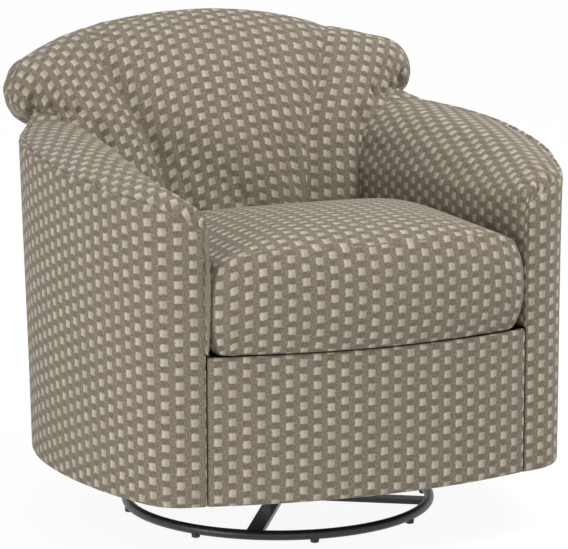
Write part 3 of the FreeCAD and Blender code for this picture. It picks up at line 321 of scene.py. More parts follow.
def coverFabric():
    m, t, bsdf, w = newMaterial("coverFabric")
    uv = t.nodes.new("ShaderNodeUVMap")
    uv.uv_map = "weave"
    g = t.nodes.new("ShaderNodeGroup")
    g.node_tree = weaveGroup
    t.links.new(uv.outputs[0], g.inputs[0])
    block, paintedHighlight, vary, thread, height, between = g.outputs[:6]
    slow = w.noise(w.scaled(uv.outputs[0], cloth["slowPitch"]), 1.0, 2.0)
    heather = w.noise(w.scaled(uv.outputs[0], cloth["heatherPitch"]), 1.0, 2.0, 0.7)
    fleck = w.math("ADD", w.math("MULTIPLY", thread, 0.3), w.math("MULTIPLY", heather, 0.7))
    ground = w.mix(w.ramp(fleck, 0.38, 0.62), cloth["groundDark"], cloth["ground"])
    # tone carries the painted highlight and painted shade across each block, plus a random tone per block and thread
    # flecks
    tone = w.math("ADD", w.math("MULTIPLY", paintedHighlight, 0.75), w.math("MULTIPLY", w.math("SUBTRACT", vary, 0.5), 0.5))
    tone = w.math("ADD", tone, w.math("MULTIPLY", w.math("SUBTRACT", fleck, 0.5), 2.2), clamp=True)
    # the block colour runs from its painted-shade copy to its painted-highlight copy
    pale = w.mix(tone, cloth["palePaintedShade"], cloth["pale"])
    ground = w.mix(w.math("MULTIPLY", between, cloth["darken"]), ground, cloth["between"])
    both = w.mix(block, ground, pale)
    shade = w.ramp(slow, 0.3, 0.7, 0.0, 0.10)
    t.links.new(w.mix(shade, both, cloth["worn"]), bsdf.inputs["Base Color"])
    t.links.new(w.ramp(thread, 0.2, 0.8, 0.97, 0.82), bsdf.inputs["Roughness"])
    bsdf.inputs["Specular IOR Level"].default_value = 0.22
    bsdf.inputs["Sheen Weight"].default_value = 0.12
    bsdf.inputs["Sheen Roughness"].default_value = 0.5
    bump = t.nodes.new("ShaderNodeBump")
    bump.inputs["Strength"].default_value = 0.55
    bump.inputs["Distance"].default_value = cloth["relief"]
    t.links.new(height, bump.inputs["Height"])
    t.links.new(bump.outputs[0], bsdf.inputs["Normal"])
    return m


fabric = coverFabric()


def dressed(obj, replaced):
    obj.data.materials.append(fabric)
    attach(obj, "chair_body")
    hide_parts(replaced)


# finishes of the CAD pieces: two tones of each colour, roughness and fine relief from one grain group

finishes = {
    "hardwood": {"low": (0.33, 0.215, 0.12), "high": (0.54, 0.39, 0.245),
                 "stretch": (16, 50, 90), "rough": (0.55, 0.8), "relief": 0.0006},
    "webbing": {"low": (0.36, 0.28, 0.18), "high": (0.55, 0.45, 0.32),
                "stretch": (420, 420, 420), "rough": (0.85, 0.98), "relief": 0.0006},
    "deck_felt": {"low": (0.06, 0.058, 0.055), "high": (0.11, 0.105, 0.10),
                  "stretch": (300, 300, 300), "rough": (0.9, 1.0), "relief": 0.0008},
    "dust_cloth": {"low": (0.010, 0.010, 0.011), "high": (0.024, 0.024, 0.026),
                   "stretch": (350, 350, 350), "rough": (0.85, 1.0), "relief": 0.0005},
    "black_steel": {"low": (0.010, 0.010, 0.0105), "high": (0.022, 0.022, 0.023),
                    "stretch": (120, 120, 120), "rough": (0.30, 0.46), "relief": 0.00012},
    "bright_steel": {"low": (0.50, 0.50, 0.51), "high": (0.66, 0.66, 0.66),
                     "stretch": (60, 60, 700), "rough": (0.22, 0.40), "relief": 0.00005, "metal": 1.0},
    "glide_plastic": {"low": (0.014, 0.014, 0.014), "high": (0.026, 0.026, 0.026),
                      "stretch": (260, 260, 260), "rough": (0.45, 0.6), "relief": 0.0001},
    "bumper_rubber": {"low": (0.022, 0.022, 0.022), "high": (0.04, 0.04, 0.04),
                      "stretch": (200, 200, 200), "rough": (0.7, 0.9), "relief": 0.0002},
    "nylon": {"low": (0.66, 0.64, 0.57), "high": (0.77, 0.755, 0.69),
              "stretch": (90, 90, 90), "rough": (0.35, 0.5), "relief": 0.0001},
    "bronze": {"low": (0.42, 0.28, 0.12), "high": (0.60, 0.43, 0.21),
               "stretch": (260, 260, 260), "rough": (0.3, 0.5), "relief": 0.0001, "metal": 1.0},
}


def surfaceGrain():
    g, start, end = newGroup("surfaceGrain", "Position", ("Tone", "Fine", "Height"))
    w = Wires(g)
    tone = w.noise(start.outputs[0], 1.0, 3.0)
    fine = w.noise(start.outputs[0], 5.0, 1.0)
    height = w.math("ADD", w.math("MULTIPLY", tone, 0.6), w.math("MULTIPLY", fine, 0.4))
    for i, x in enumerate((w.ramp(tone, 0.32, 0.68), w.ramp(fine, 0.3, 0.7), height)):
        g.links.new(x, end.inputs[i])
    return g


def finishCadPieces():
    grain = surfaceGrain()
    made = {}
    for name, k in finishes.items():
        m, t, bsdf, w = newMaterial(name)
        place = t.nodes.new("ShaderNodeTexCoord")
        g = t.nodes.new("ShaderNodeGroup")
        g.node_tree = grain
        t.links.new(w.scaled(place.outputs["Object"], k["stretch"]), g.inputs[0])
        t.links.new(w.mix(g.outputs["Tone"], k["low"], k["high"]), bsdf.inputs["Base Color"])
        t.links.new(w.ramp(g.outputs["Fine"], 0.0, 1.0, *k["rough"]), bsdf.inputs["Roughness"])
        bsdf.inputs["Metallic"].default_value = k.get("metal", 0.0)
        bump = t.nodes.new("ShaderNodeBump")
        bump.inputs["Strength"].default_value = 0.6
        bump.inputs["Distance"].default_value = k["relief"]
        t.links.new(g.outputs["Height"], bump.inputs["Height"])
        t.links.new(bump.outputs[0], bsdf.inputs["Normal"])
        made[name] = m
    for part in frame["record"]["subparts"]:
        if part["material_slot"] in made:
            mesh = nodes[part["node"]].data
            mesh.materials.clear()
            mesh.materials.append(made[part["material_slot"]])


finishCadPieces()
print("finishes done")


# outside of the shell: plan line by length s from the front seam to the middle of the back

shell = {"low": 0.109, "half": 0.413, "sideRadius": 0.690, "sideMid": -0.030, "rear": 0.385, "corner": 0.080,
         "facing": 12.0, "seamHalf": 0.270, "seamDepth": 0.362, "flare": 1.1, "leanBack": 1.3, "hem": 0.008,
         "edge": 0.005, "armSeam": 0.608, "armFall": 4.6, "rearRise": 21.0, "riseFrom": 0.205, "tipHigh": 0.540,
         "tipRun": 0.068, "tipUntil": -0.2, "tipSoft": 0.012, "seamMid": 0.58, "facingRun": 0.2, "facingY": -0.25,
         "rearSeam": 0.290, "thick": 0.009, "pitch": 0.009, "tuck": [0.026, 0.016], "tuckHigh": [0.0006, 0.0],
         "wallRows": 66, "topPucker": (0.031, 0.0007, 0.02), "sidePucker": (0.037, 0.0006, 0.014), "wave": 0.0012,
         "patternAt": {"right": (0.0021, 0.004), "left": (0.0074, 0.004), "back": (0.006, 0.009)}}


def tangent(degrees):
    return math.tan(math.radians(degrees))


def planLine():
    # a facing line, a corner round, a long side arc and a round back, each point with its outward normal
    k = shell
    sideC = np.array([k["half"] - k["sideRadius"], k["sideMid"]])
    reach = k["rear"] - k["sideMid"]
    backR = (k["sideRadius"] ** 2 - sideC[0] ** 2 - reach ** 2) / (2 * (k["sideRadius"] - reach))
    backC = np.array([0.0, k["rear"] - backR])
    a = math.radians(k["facing"])
    out = np.array([math.sin(a), -math.cos(a)])
    tan = np.array([math.cos(a), math.sin(a)])
    seam = np.array([k["seamHalf"], -k["seamDepth"]])
    start = seam - out * k["corner"] - sideC
    slope = start @ tan
    inside = (k["sideRadius"] - k["corner"]) ** 2 - start @ start
    cornerC = sideC + start + tan * (math.sqrt(slope ** 2 + inside) - slope)
    first = cornerC + out * k["corner"]
    line = np.linspace(seam, first, 12)[:-1]
    pts, nrm = [line], [np.tile(out, (11, 1))]
    d = cornerC - sideC
    turns = [math.atan2(out[1], out[0]), math.atan2(d[1], d[0]), math.atan2(*(backC - sideC)[::-1]), math.pi / 2]
    for c, r, a0, a1, n in ((cornerC, k["corner"], turns[0], turns[1], 40),
                            (sideC, k["sideRadius"], turns[1], turns[2], 120), (backC, backR, turns[2], turns[3], 240)):
        ang = np.linspace(a0, a1, n + 1)
        ang = ang if a1 == math.pi / 2 else ang[:-1]
        ray = np.stack([np.cos(ang), np.sin(ang)], axis=1)
        pts.append(c + r * ray)
        nrm.append(ray)
    pts, nrm = np.concatenate(pts), np.concatenate(nrm)
    s = np.concatenate([[0], np.cumsum(np.linalg.norm(np.diff(pts, axis=0), axis=1))])
    return s, pts, nrm


planS, planP, planN = planLine()
planEnd = planS[-1]
rearS = float(np.interp(-shell["rearSeam"], -planP[:, 0][planP[:, 1] > 0], planS[planP[:, 1] > 0]))


def shellPoint(s, z, inset=0.0):
    # the plan grows outward and back with height; s past the middle of the back runs on to the other side
    far = s > planEnd
    q = np.where(far, 2 * planEnd - s, s)
    x, y = np.interp(q, planS, planP[:, 0]), np.interp(q, planS, planP[:, 1])
    nx, ny = np.interp(q, planS, planN[:, 0]), np.interp(q, planS, planN[:, 1])
    rise = z - shell["low"]
    grow = rise * tangent(shell["flare"]) - inset
    x = x + nx * grow
    y = y + ny * grow + rise * tangent(shell["leanBack"])
    return np.stack([np.where(far, -x, x), y, z + 0 * s], axis=-1)


def seamHeight(x, y):
    # the seam climbs to the rear, faster under the ears, and dips to the tip at the front
    k = shell
    z = k["armSeam"] + np.minimum(y, k["riseFrom"]) * tangent(k["armFall"])
    z = z + np.maximum(y - k["riseFrom"], 0) * tangent(k["rearRise"])
    top = k["armSeam"] - k["seamDepth"] * tangent(k["armFall"])
    tip = k["tipHigh"] + (np.abs(x) - k["seamHalf"]) * (top - k["tipHigh"]) / k["tipRun"]
    tip = np.where(y < k["tipUntil"], tip, 2.0)
    soft = k["tipSoft"]
    return -soft * np.log(np.exp(-z / soft) + np.exp(-tip / soft))


def seamAlong(s):
    # on the facing, the seam is as high as at the arm's front
    k = shell
    p = shellPoint(s, np.full_like(s, k["seamMid"]))
    return seamHeight(p[..., 0], np.where(s > k["facingRun"], p[..., 1], np.minimum(p[..., 1], k["facingY"])))


def pucker(u, dist, pitch, size, reach):
    # small gathers that fade away from a seam
    waves = np.sin(2 * math.pi * u / pitch) + 0.5 * np.sin(2 * math.pi * u / (pitch * 0.61) + 1.3)
    return size * np.exp(-dist / reach) * waves


def wrap(s, top):
    # rows of height over columns of length: hem turned under, straight wall, top edge turned in at the seam
    k = shell
    hemA = np.radians(np.linspace(-90, 0, 7))
    wallN, wallFrom = k["wallRows"], len(k["tuck"]) + len(hemA)
    rowD = np.concatenate([k["tuck"], k["hem"] - k["hem"] * np.cos(hemA), np.zeros(wallN)])
    rowZ = np.concatenate([k["tuckHigh"], k["hem"] + k["hem"] * np.sin(hemA), np.zeros(wallN)])
    wall = np.concatenate([np.zeros(wallFrom), np.linspace(0, 1, wallN + 1)[1:] ** 0.94])
    base = k["low"] + k["hem"]
    z = np.where(wall[:, None] > 0, base + wall[:, None] * (top[None, :] - base), k["low"] + rowZ[:, None])
    sGrid = np.tile(s, (len(rowD), 1))
    below = top[None, :] - z
    dist = np.minimum(sGrid - s[0], s[-1] - sGrid)
    inset = rowD[:, None] + rollIn(below, k["edge"]) + rollIn(dist, k["edge"])
    inset = inset - pucker(sGrid, below, *k["topPucker"]) - pucker(z, dist, *k["sidePucker"])
    inset = inset - k["wave"] * np.sin(sGrid * 11 + 1.0) * np.sin(z * 9 + sGrid * 5)
    p = shellPoint(sGrid, z, inset)
    v = along(p, 0)
    v = v - v[wallFrom - 1:wallFrom, :] + base
    return p, np.stack([sGrid, v], axis=-1)


def sideColumns(a, b, pitch):
    # even columns with a few close to each end for the turned edge
    e = np.array([0, 0.0012, 0.003, 0.0055])
    inner = np.linspace(a + 0.009, b - 0.009, int((b - a) / pitch))
    return np.concatenate([a + e, inner, b - e[::-1]])


def outward(obj):
    # an open sheet's faces are turned to point away from the swivel axis
    faces = obj.data.polygons
    n, c = rowsOf(faces, "normal", 3), rowsOf(faces, "center", 3)
    if (n[:, :2] * c[:, :2]).sum() < 0:
        obj.data.flip_normals()


def thicken(obj, thick):
    m = obj.modifiers.new("solidify", "SOLIDIFY")
    m.thickness = thick
    m.offset = -1


def stretched(name, p, uv, replaced):
    # one taut panel of cloth with its thickness
    obj = sewn(name, [(p, uv)], closed=False)
    outward(obj)
    thicken(obj, shell["thick"])
    dressed(obj, replaced)


def outsidePanels():
    k = shell
    s = sideColumns(0.0, rearS, k["pitch"])
    p, uv = wrap(s, seamAlong(s))
    for side, sign in (("right", 1), ("left", -1)):
        mirrored = uv * np.array([sign, 1]) + np.array(k["patternAt"][side])
        stretched("cover_side_" + side, p * np.array([sign, 1, 1]), mirrored, "outside_panel_" + side)
    s = sideColumns(rearS, 2 * planEnd - rearS, k["pitch"])
    p, uv = wrap(s, seamAlong(np.minimum(s, 2 * planEnd - s)))
    stretched("cover_back", p, uv + np.array(k["patternAt"]["back"]), "outside_back")


outsidePanels()
print("outside panels done")


# front border under the cushion

border = {"bow": 0.040, "top": 0.342, "edge": 0.006, "gap": 0.0004, "pitch": 0.008, "tuck": 0.02, "wave": 0.001,
          "topPucker": (0.033, 0.0006, 0.02), "sidePucker": (0.036, 0.0008, 0.016), "patternAt": (0.0035, 0.012)}


def frontBorder():
    # a bowed wall from seam to seam, hem turned under, upper edge turned in below the cushion
    k, b = shell, border
    radius = (k["seamHalf"] ** 2 + b["bow"] ** 2) / (2 * b["bow"])
    centreY = radius - k["seamDepth"] - b["bow"]
    x = sideColumns(-k["seamHalf"] + b["gap"], k["seamHalf"] - b["gap"], b["pitch"])
    hemA = np.radians(np.linspace(-90, 0, 7))
    z = np.concatenate([[k["low"]], k["low"] + k["hem"] + k["hem"] * np.sin(hemA),
                        np.linspace(k["low"] + 0.012, b["top"] - 0.007, 26),
                        b["top"] - np.array([0.005, 0.003, 0.0012, 0])])
    d = np.concatenate([[b["tuck"]], k["hem"] - k["hem"] * np.cos(hemA), np.zeros(30)])
    xx, zz = np.meshgrid(x, z)
    side, below = k["seamHalf"] - np.abs(xx), b["top"] - zz
    inset = d[:, None] + rollIn(below, b["edge"]) + rollIn(side, b["edge"])
    inset = inset - pucker(xx, below, *b["topPucker"]) - pucker(zz, side, *b["sidePucker"])
    inset = inset - b["wave"] * np.sin(xx * 13) * np.sin(zz * 21)
    angle = np.arcsin(xx / radius)
    r = radius - inset
    p = np.stack([r * np.sin(angle), centreY - r * np.cos(angle), zz], axis=-1)
    uv = np.stack([angle * radius, along(p, 0)], axis=-1) + np.array(b["patternAt"])
    stretched("cover_front_border", p, uv, "front_border")


frontBorder()
print("front border done")


# seat cushion: top panel, boxing and bottom panel, sewn at two seams

seat = {"low": 0.343, "half": 0.264, "taper": 0.040, "front": 0.414, "sideFront": 0.372, "rear": 0.126,
        "corner": 0.040, "nose": 0.010, "lead": 0.004, "peak": 0.527, "peakAt": -0.19, "frontTop": 0.499,
        "rearTop": 0.452, "sideTop": 0.474, "sideLift": 0.004, "sidePower": 2.8, "blend": 0.010, "lift": 0.003,
        "draw": 0.014, "belly": 0.004, "shoulder": 0.016, "shoulderRun": 0.022, "centre": (0, -0.14),
        "gridHalf": 30, "bandRows": 26, "topAt": (0.0042, 0.0031), "bandAt": (0.0042, 0.0111),
        "pressure": 3.2, "limit": 0.016, "frames": 20}


def arcThrough(x, a, b, c):
    # height at x of the parabola through three points
    return (b[1] * (x - a[0]) * (x - c[0]) / ((b[0] - a[0]) * (b[0] - c[0]))
            + a[1] * (x - b[0]) * (x - c[0]) / ((a[0] - b[0]) * (a[0] - c[0]))
            + c[1] * (x - a[0]) * (x - b[0]) / ((c[0] - a[0]) * (c[0] - b[0])))


def seatOutline(count):
    # bowed front, sides that close in to the rear, round corners; evenly spaced points from the front's middle
    k = seat
    r = k["corner"]
    front = np.linspace(0, k["half"] - r, 40)
    frontY = -k["front"] + (k["front"] - k["sideFront"] - k["nose"]) * (front / (k["half"] - r)) ** 2
    rearHalf = k["half"] - k["taper"]

    def bend(a, b, c, n=14):
        t = np.linspace(0, 1, n)[:, None]
        return (1 - t) ** 2 * a + 2 * t * (1 - t) * b + t * t * c
    lean = np.array([rearHalf - k["half"], k["rear"] + k["sideFront"]])
    lean = lean / np.linalg.norm(lean)
    frontStart = np.array([k["half"] - r, -k["sideFront"] - k["nose"]])
    frontCorner = np.array([k["half"] + k["lead"], -k["sideFront"] - k["lead"]])
    rearCorner = np.array([rearHalf, k["rear"]])
    half = np.concatenate([np.stack([front, frontY], axis=1),
                           bend(frontStart, frontCorner, frontCorner + lean * r)[1:],
                           bend(rearCorner - lean * r, rearCorner, rearCorner + np.array([-r, 0])),
                           np.array([[0, k["rear"]]])])
    loop = np.concatenate([half, half[-2:0:-1] * np.array([-1, 1]), half[:1]])
    s = np.concatenate([[0], np.cumsum(np.linalg.norm(np.diff(loop, axis=0), axis=1))])
    even = np.linspace(0, s[-1], count + 1)
    return np.stack([np.interp(even, s, loop[:, 0]), np.interp(even, s, loop[:, 1])], axis=1), even


def crownHeight(x, y):
    # lower of two arches, front to rear and side to side, with a quick rise behind the front seam
    k = seat
    bow = (k["front"] - k["sideFront"] - k["nose"]) * (x / (k["half"] - k["corner"])) ** 2
    behind = np.maximum(y - (k["draw"] - k["front"] + bow), 0)
    shoulder = k["shoulder"] * (1 - np.exp(-behind / k["shoulderRun"]))
    zy = arcThrough(y, (-k["front"], k["frontTop"]), (k["peakAt"], k["peak"] - k["shoulder"]),
                    (k["rear"], k["rearTop"] - k["shoulder"])) + shoulder
    peak = k["peak"] + k["sideLift"]
    zx = peak - (peak - k["sideTop"]) * (np.abs(x) / k["half"]) ** k["sidePower"]
    soft = k["blend"]
    return -soft * np.log(np.exp(-zy / soft) + np.exp(-zx / soft)) + k["lift"]


def seatCushion():
    k = seat
    n = k["gridHalf"]
    line, s = seatOutline(8 * n)
    centre = np.array(k["centre"])
    out = np.stack([np.gradient(line[:, 1]), -np.gradient(line[:, 0])], axis=1)
    out[0] = out[-1] = (0, -1)
    out = out / np.linalg.norm(out, axis=1, keepdims=True)
    rim = line - out * k["draw"]
    # a square grid spread over the outline: each square ring of the grid is a smaller copy of the rim
    i, j = np.meshgrid(np.arange(-n, n + 1), np.arange(-n, n + 1), indexing="ij")
    ringAt = np.maximum(abs(i), abs(j))
    m = np.maximum(ringAt, 1)
    walk = np.where(j == -m, i, np.where(i == m, j + 2 * m, np.where(j == m, 4 * m - i, 6 * m - j)))
    share = (walk / (8 * m)) % 1.0 * 8 * n
    ring = np.stack([np.interp(share, np.arange(8 * n + 1), rim[:, a]) for a in (0, 1)], axis=-1)
    flat = centre + (ring - centre) * (ringAt / n)[..., None]
    rimZ = crownHeight(rim[:, 0], rim[:, 1])
    top = np.concatenate([flat, crownHeight(flat[..., 0], flat[..., 1])[..., None]], axis=2)
    bottom = np.concatenate([flat, np.full(flat.shape[:2] + (1,), k["low"])], axis=2)
    t = np.linspace(0, 1, k["bandRows"])[:, None]
    bulge = k["draw"] * (1 - np.abs(2 * t - 1) ** 3.0) + k["belly"] * np.sin(math.pi * t)
    z = rimZ[None] * (1 - t) + k["low"] * t
    band = np.concatenate([rim[None] + out[None] * bulge[..., None], z[..., None]], axis=2)
    # the boxing's pattern runs both ways from the front's middle, so it is sewn as two halves
    u = np.where(s > s[-1] / 2, s - s[-1], s)[None] + 0 * z
    bandUv = np.stack([u, along(band, 0) * -1], axis=-1) + np.array(k["bandAt"])
    bandUv[:, -1, 0] = bandUv[:, -2, 0] + s[1]
    half = len(s) // 2 + 1
    restUv = np.concatenate([bandUv[:, half:half + 1] - np.array([s[1], 0]), bandUv[:, half:]], axis=1)
    obj = sewn("cushion_seat", [(top, flat + np.array(k["topAt"])), (band[:, :half], bandUv[:, :half]),
                                (band[:, half - 1:], restUv), (bottom, flat)])
    rims = np.concatenate([band[0][::2], band[-1][::2]])
    puff(obj, lambda p: nearTo(p, rims, 0.005) | (p[:, 2] < k["low"] + 0.001), k)
    subdivided(obj)
    dressed(obj, "seat_cushion")


seatCushion()
print("seat cushion done")


# arms: soft inner wall rolled over the top to the outside seam

arm = {"low": 0.344, "frontX": 0.269, "rearX": 0.229, "frontY": -0.376, "rearY": 0.128, "rollX": 0.074,
       "rollZ": 0.060, "crown": 0.010, "crest": 0.614, "climb": 2.8, "end": 0.292, "from": -0.3655,
       "nose": 0.12, "noseIn": (0.03, -0.352), "noseLead": 0.012, "droopAt": [-0.392, -0.354, -0.302, -0.172],
       "droop": [0.058, 0.0244, 0.007, 0.0], "belly": 0.004, "tuck": 0.006, "crease": 0.0016, "creaseLow": 0.0005,
       "deep": 0.05, "patternRow": 30, "patternAt": (0.004, 0.006), "fold": 0.0042, "foldPitch": 0.021,
       "foldFrom": 0.362, "foldReach": 0.026, "pressure": 2.0, "limit": 0.008, "frames": 14}


def armFolds(x, y, z):
    # short gathers that run back from the front seam
    k = arm
    fade = np.exp(-np.maximum(y + k["foldFrom"], 0) / k["foldReach"]) * smooth(z, 0.45, 0.49)
    return k["fold"] * np.sin(2 * math.pi * (z + x) / k["foldPitch"]) * fade


def armPad(side, sign):
    k = arm
    nose = k["nose"]
    sEnd = float(np.interp(k["end"], planP[:, 1], planS))
    s = np.concatenate([np.linspace(0, nose, 22)[:-1], np.linspace(nose, sEnd, 66)])
    top = seamAlong(s) - 0.0005
    seamPt = shellPoint(s, top, shell["edge"] * 0.9)
    noseY = float(np.interp(nose, planS, planP[:, 1])) + k["noseLead"]
    yIn = np.interp(s, [0, k["noseIn"][0], nose], [k["from"], k["noseIn"][1], noseY])
    yIn = np.where(s > nose, seamPt[:, 1], yIn)
    xIn = k["frontX"] - (k["frontX"] - k["rearX"]) * (yIn - k["frontY"]) / (k["rearY"] - k["frontY"])
    inner = np.stack([xIn, yIn], axis=1)
    run = np.linalg.norm(seamPt[:, :2] - inner, axis=1)
    crest = k["crest"] + yIn * tangent(k["climb"]) - np.interp(yIn, k["droopAt"], k["droop"])
    crest = np.maximum(crest, top + k["crown"] * smooth(run, 0.0, 0.16) * (1 - smooth(yIn, 0.0, 0.22)))
    crest = top + (crest - top) * smooth(run, 0.0, 0.03)

    # each section: inner wall, quarter round, then over the top to the seam
    rx = np.minimum(k["rollX"], run * 0.52)
    rz = np.minimum(k["rollZ"], 0.02 + run * 0.5)
    wallT = np.linspace(0, 1, 24)[:, None]
    rollA = np.radians(np.linspace(0, 90, 14)[1:])[:, None]
    topT = np.linspace(0, 1, 16)[1:, None]
    belly = k["belly"] * np.sin(math.pi * wallT)
    rho = np.concatenate([-belly + 0 * run, rx * (1 - np.cos(rollA)), rx + (run - rx) * topT])
    tuck = k["tuck"] * smooth(topT, 0.88, 1.0) * smooth(run, 0, 0.08)
    z = np.concatenate([k["low"] + (crest - rz - k["low"]) * wallT, crest - rz + rz * np.sin(rollA),
                        crest - (crest - top) * topT ** 2.2 - tuck])
    toward = (seamPt[:, :2] - inner) / np.maximum(run, 1e-6)[:, None]
    p = np.concatenate([inner[None] + toward[None] * rho[..., None], z[..., None]], axis=2)
    n = gridNormals(p)
    n = n * np.sign((n * np.array([-0.5, 0, 1])).sum(2, keepdims=True))
    frontness = np.exp(-np.maximum(s[None] - 0.015, 0) / 0.05)
    wave = np.sin(2 * math.pi * (p[..., 2] * 22 + s[None] * 9))
    crease = k["crease"] * wave * frontness * smooth(p[..., 2], 0.42, 0.52)
    p = p + n * (crease - k["creaseLow"] * np.abs(crease))[..., None] * smooth(run, 0.01, 0.05)[None, :, None]
    v = along(p, 0)
    u = along(p, 1)[k["patternRow"]][None] + 0 * v
    shown = np.stack([u, v], axis=-1) + np.array(k["patternAt"])

    # closed behind by a hidden wall and foot
    t = np.linspace(0, 1, 12)[:, None, None]
    sunk = inner + toward * np.minimum(k["deep"], run * 0.5)[:, None]
    deep = np.concatenate([sunk, np.full((len(s), 1), k["low"] + 0.01)], axis=1)
    hidden = p[-1][None] * (1 - t) + deep[None] * t
    foot = deep[None] * (1 - t[::3]) + p[0][None] * t[::3]
    flip = np.array([sign, 1, 1])
    obj = sewn("pad_arm_" + side, [(p * flip, shown * flip[:2]), (hidden * flip, bareUv(hidden)),
                                   (foot * flip, bareUv(foot))])
    edges = np.concatenate([p[-1], p[0], p[:, 0]]) * flip
    inside = hidden[1:].reshape(-1, 3)[::4] * flip
    puff(obj, lambda q: nearTo(q, edges, 0.004) | nearTo(q, inside, 0.012), k)
    creased(obj, armFolds)
    subdivided(obj)
    dressed(obj, "arm_pad_" + side)


for side, sign in (("right", 1), ("left", -1)):
    armPad(side, sign)
print("arms done")


# back: three sewn panels that run up and over the roll, with round gathered ears

back = {"low": 0.343, "foot": 0.132, "knee": 0.206, "kneeHigh": 0.580, "wingFoot": 0.008, "wingKnee": 0.024,
        "rollRadius": 0.047, "earRadius": 0.063, "ear": (0.302, 0.290, 0.665), "crest": (0.0, 0.373, 0.736),
        "lean": 40.0, "rollTurn": 215.0, "channel": 0.011, "channelWide": 0.016, "channelNarrow": 0.007,
        "channelFoot": 0.495, "channelKnee": 0.485, "channelRoll": 0.68, "padding": 0.004, "gather": 0.0028,
        "wideAt": [0.343, 0.47, 0.56, 0.62, 0.70], "wide": [0.219, 0.228, 0.276, 0.306, 0.308],
        "capTurns": [8, 15, 20, 24, 27, 30, 34, 40, 48, 56, 64, 72, 79, 86], "capDeep": 0.055,
        "sideCols": 30, "midCols": 48, "lowRows": 34, "highRows": 26, "rollRows": 40, "rearDeep": 0.075,
        "pressure": 2.6, "limit": 0.012, "frames": 16}
ears = {"pit": 0.014, "pitPitch": 0.020, "pitFrom": 0.262, "pitHigh": 0.643, "pitTall": 0.012,
        "crease": 0.017, "creaseAt": 0.335, "creaseWide": 0.0055,
        "groove": 0.013, "grooveWide": 0.012, "meet": 0.212, "meetHigh": 0.46, "meetLean": 0.151}


def backFolds(x, y, z):
    # pits where the ears come down on the arms, one crease round each ear, a groove where back and arm meet
    k = ears
    pits = ((1 + np.sin(2 * math.pi * (x - k["pitFrom"]) / k["pitPitch"])) / 2) ** 2
    pits = pits * np.exp(-((z - k["pitHigh"]) / k["pitTall"]) ** 2)
    pits = pits * smooth(x, 0.25, 0.27) * (1 - smooth(x, 0.325, 0.335)) * (y < 0.285)
    crease = np.exp(-((x - k["creaseAt"]) / k["creaseWide"]) ** 2) * (1 - smooth(z, 0.655, 0.682)) * (y < 0.295)
    meet = k["meet"] + k["meetLean"] * (z - k["meetHigh"])
    groove = np.exp(-((x - meet) / k["grooveWide"]) ** 2) * (y < 0.26)
    groove = groove * (1 - smooth(z, 0.60, 0.635)) * smooth(z, 0.36, 0.42)
    return k["pit"] * pits + k["crease"] * crease + k["groove"] * groove


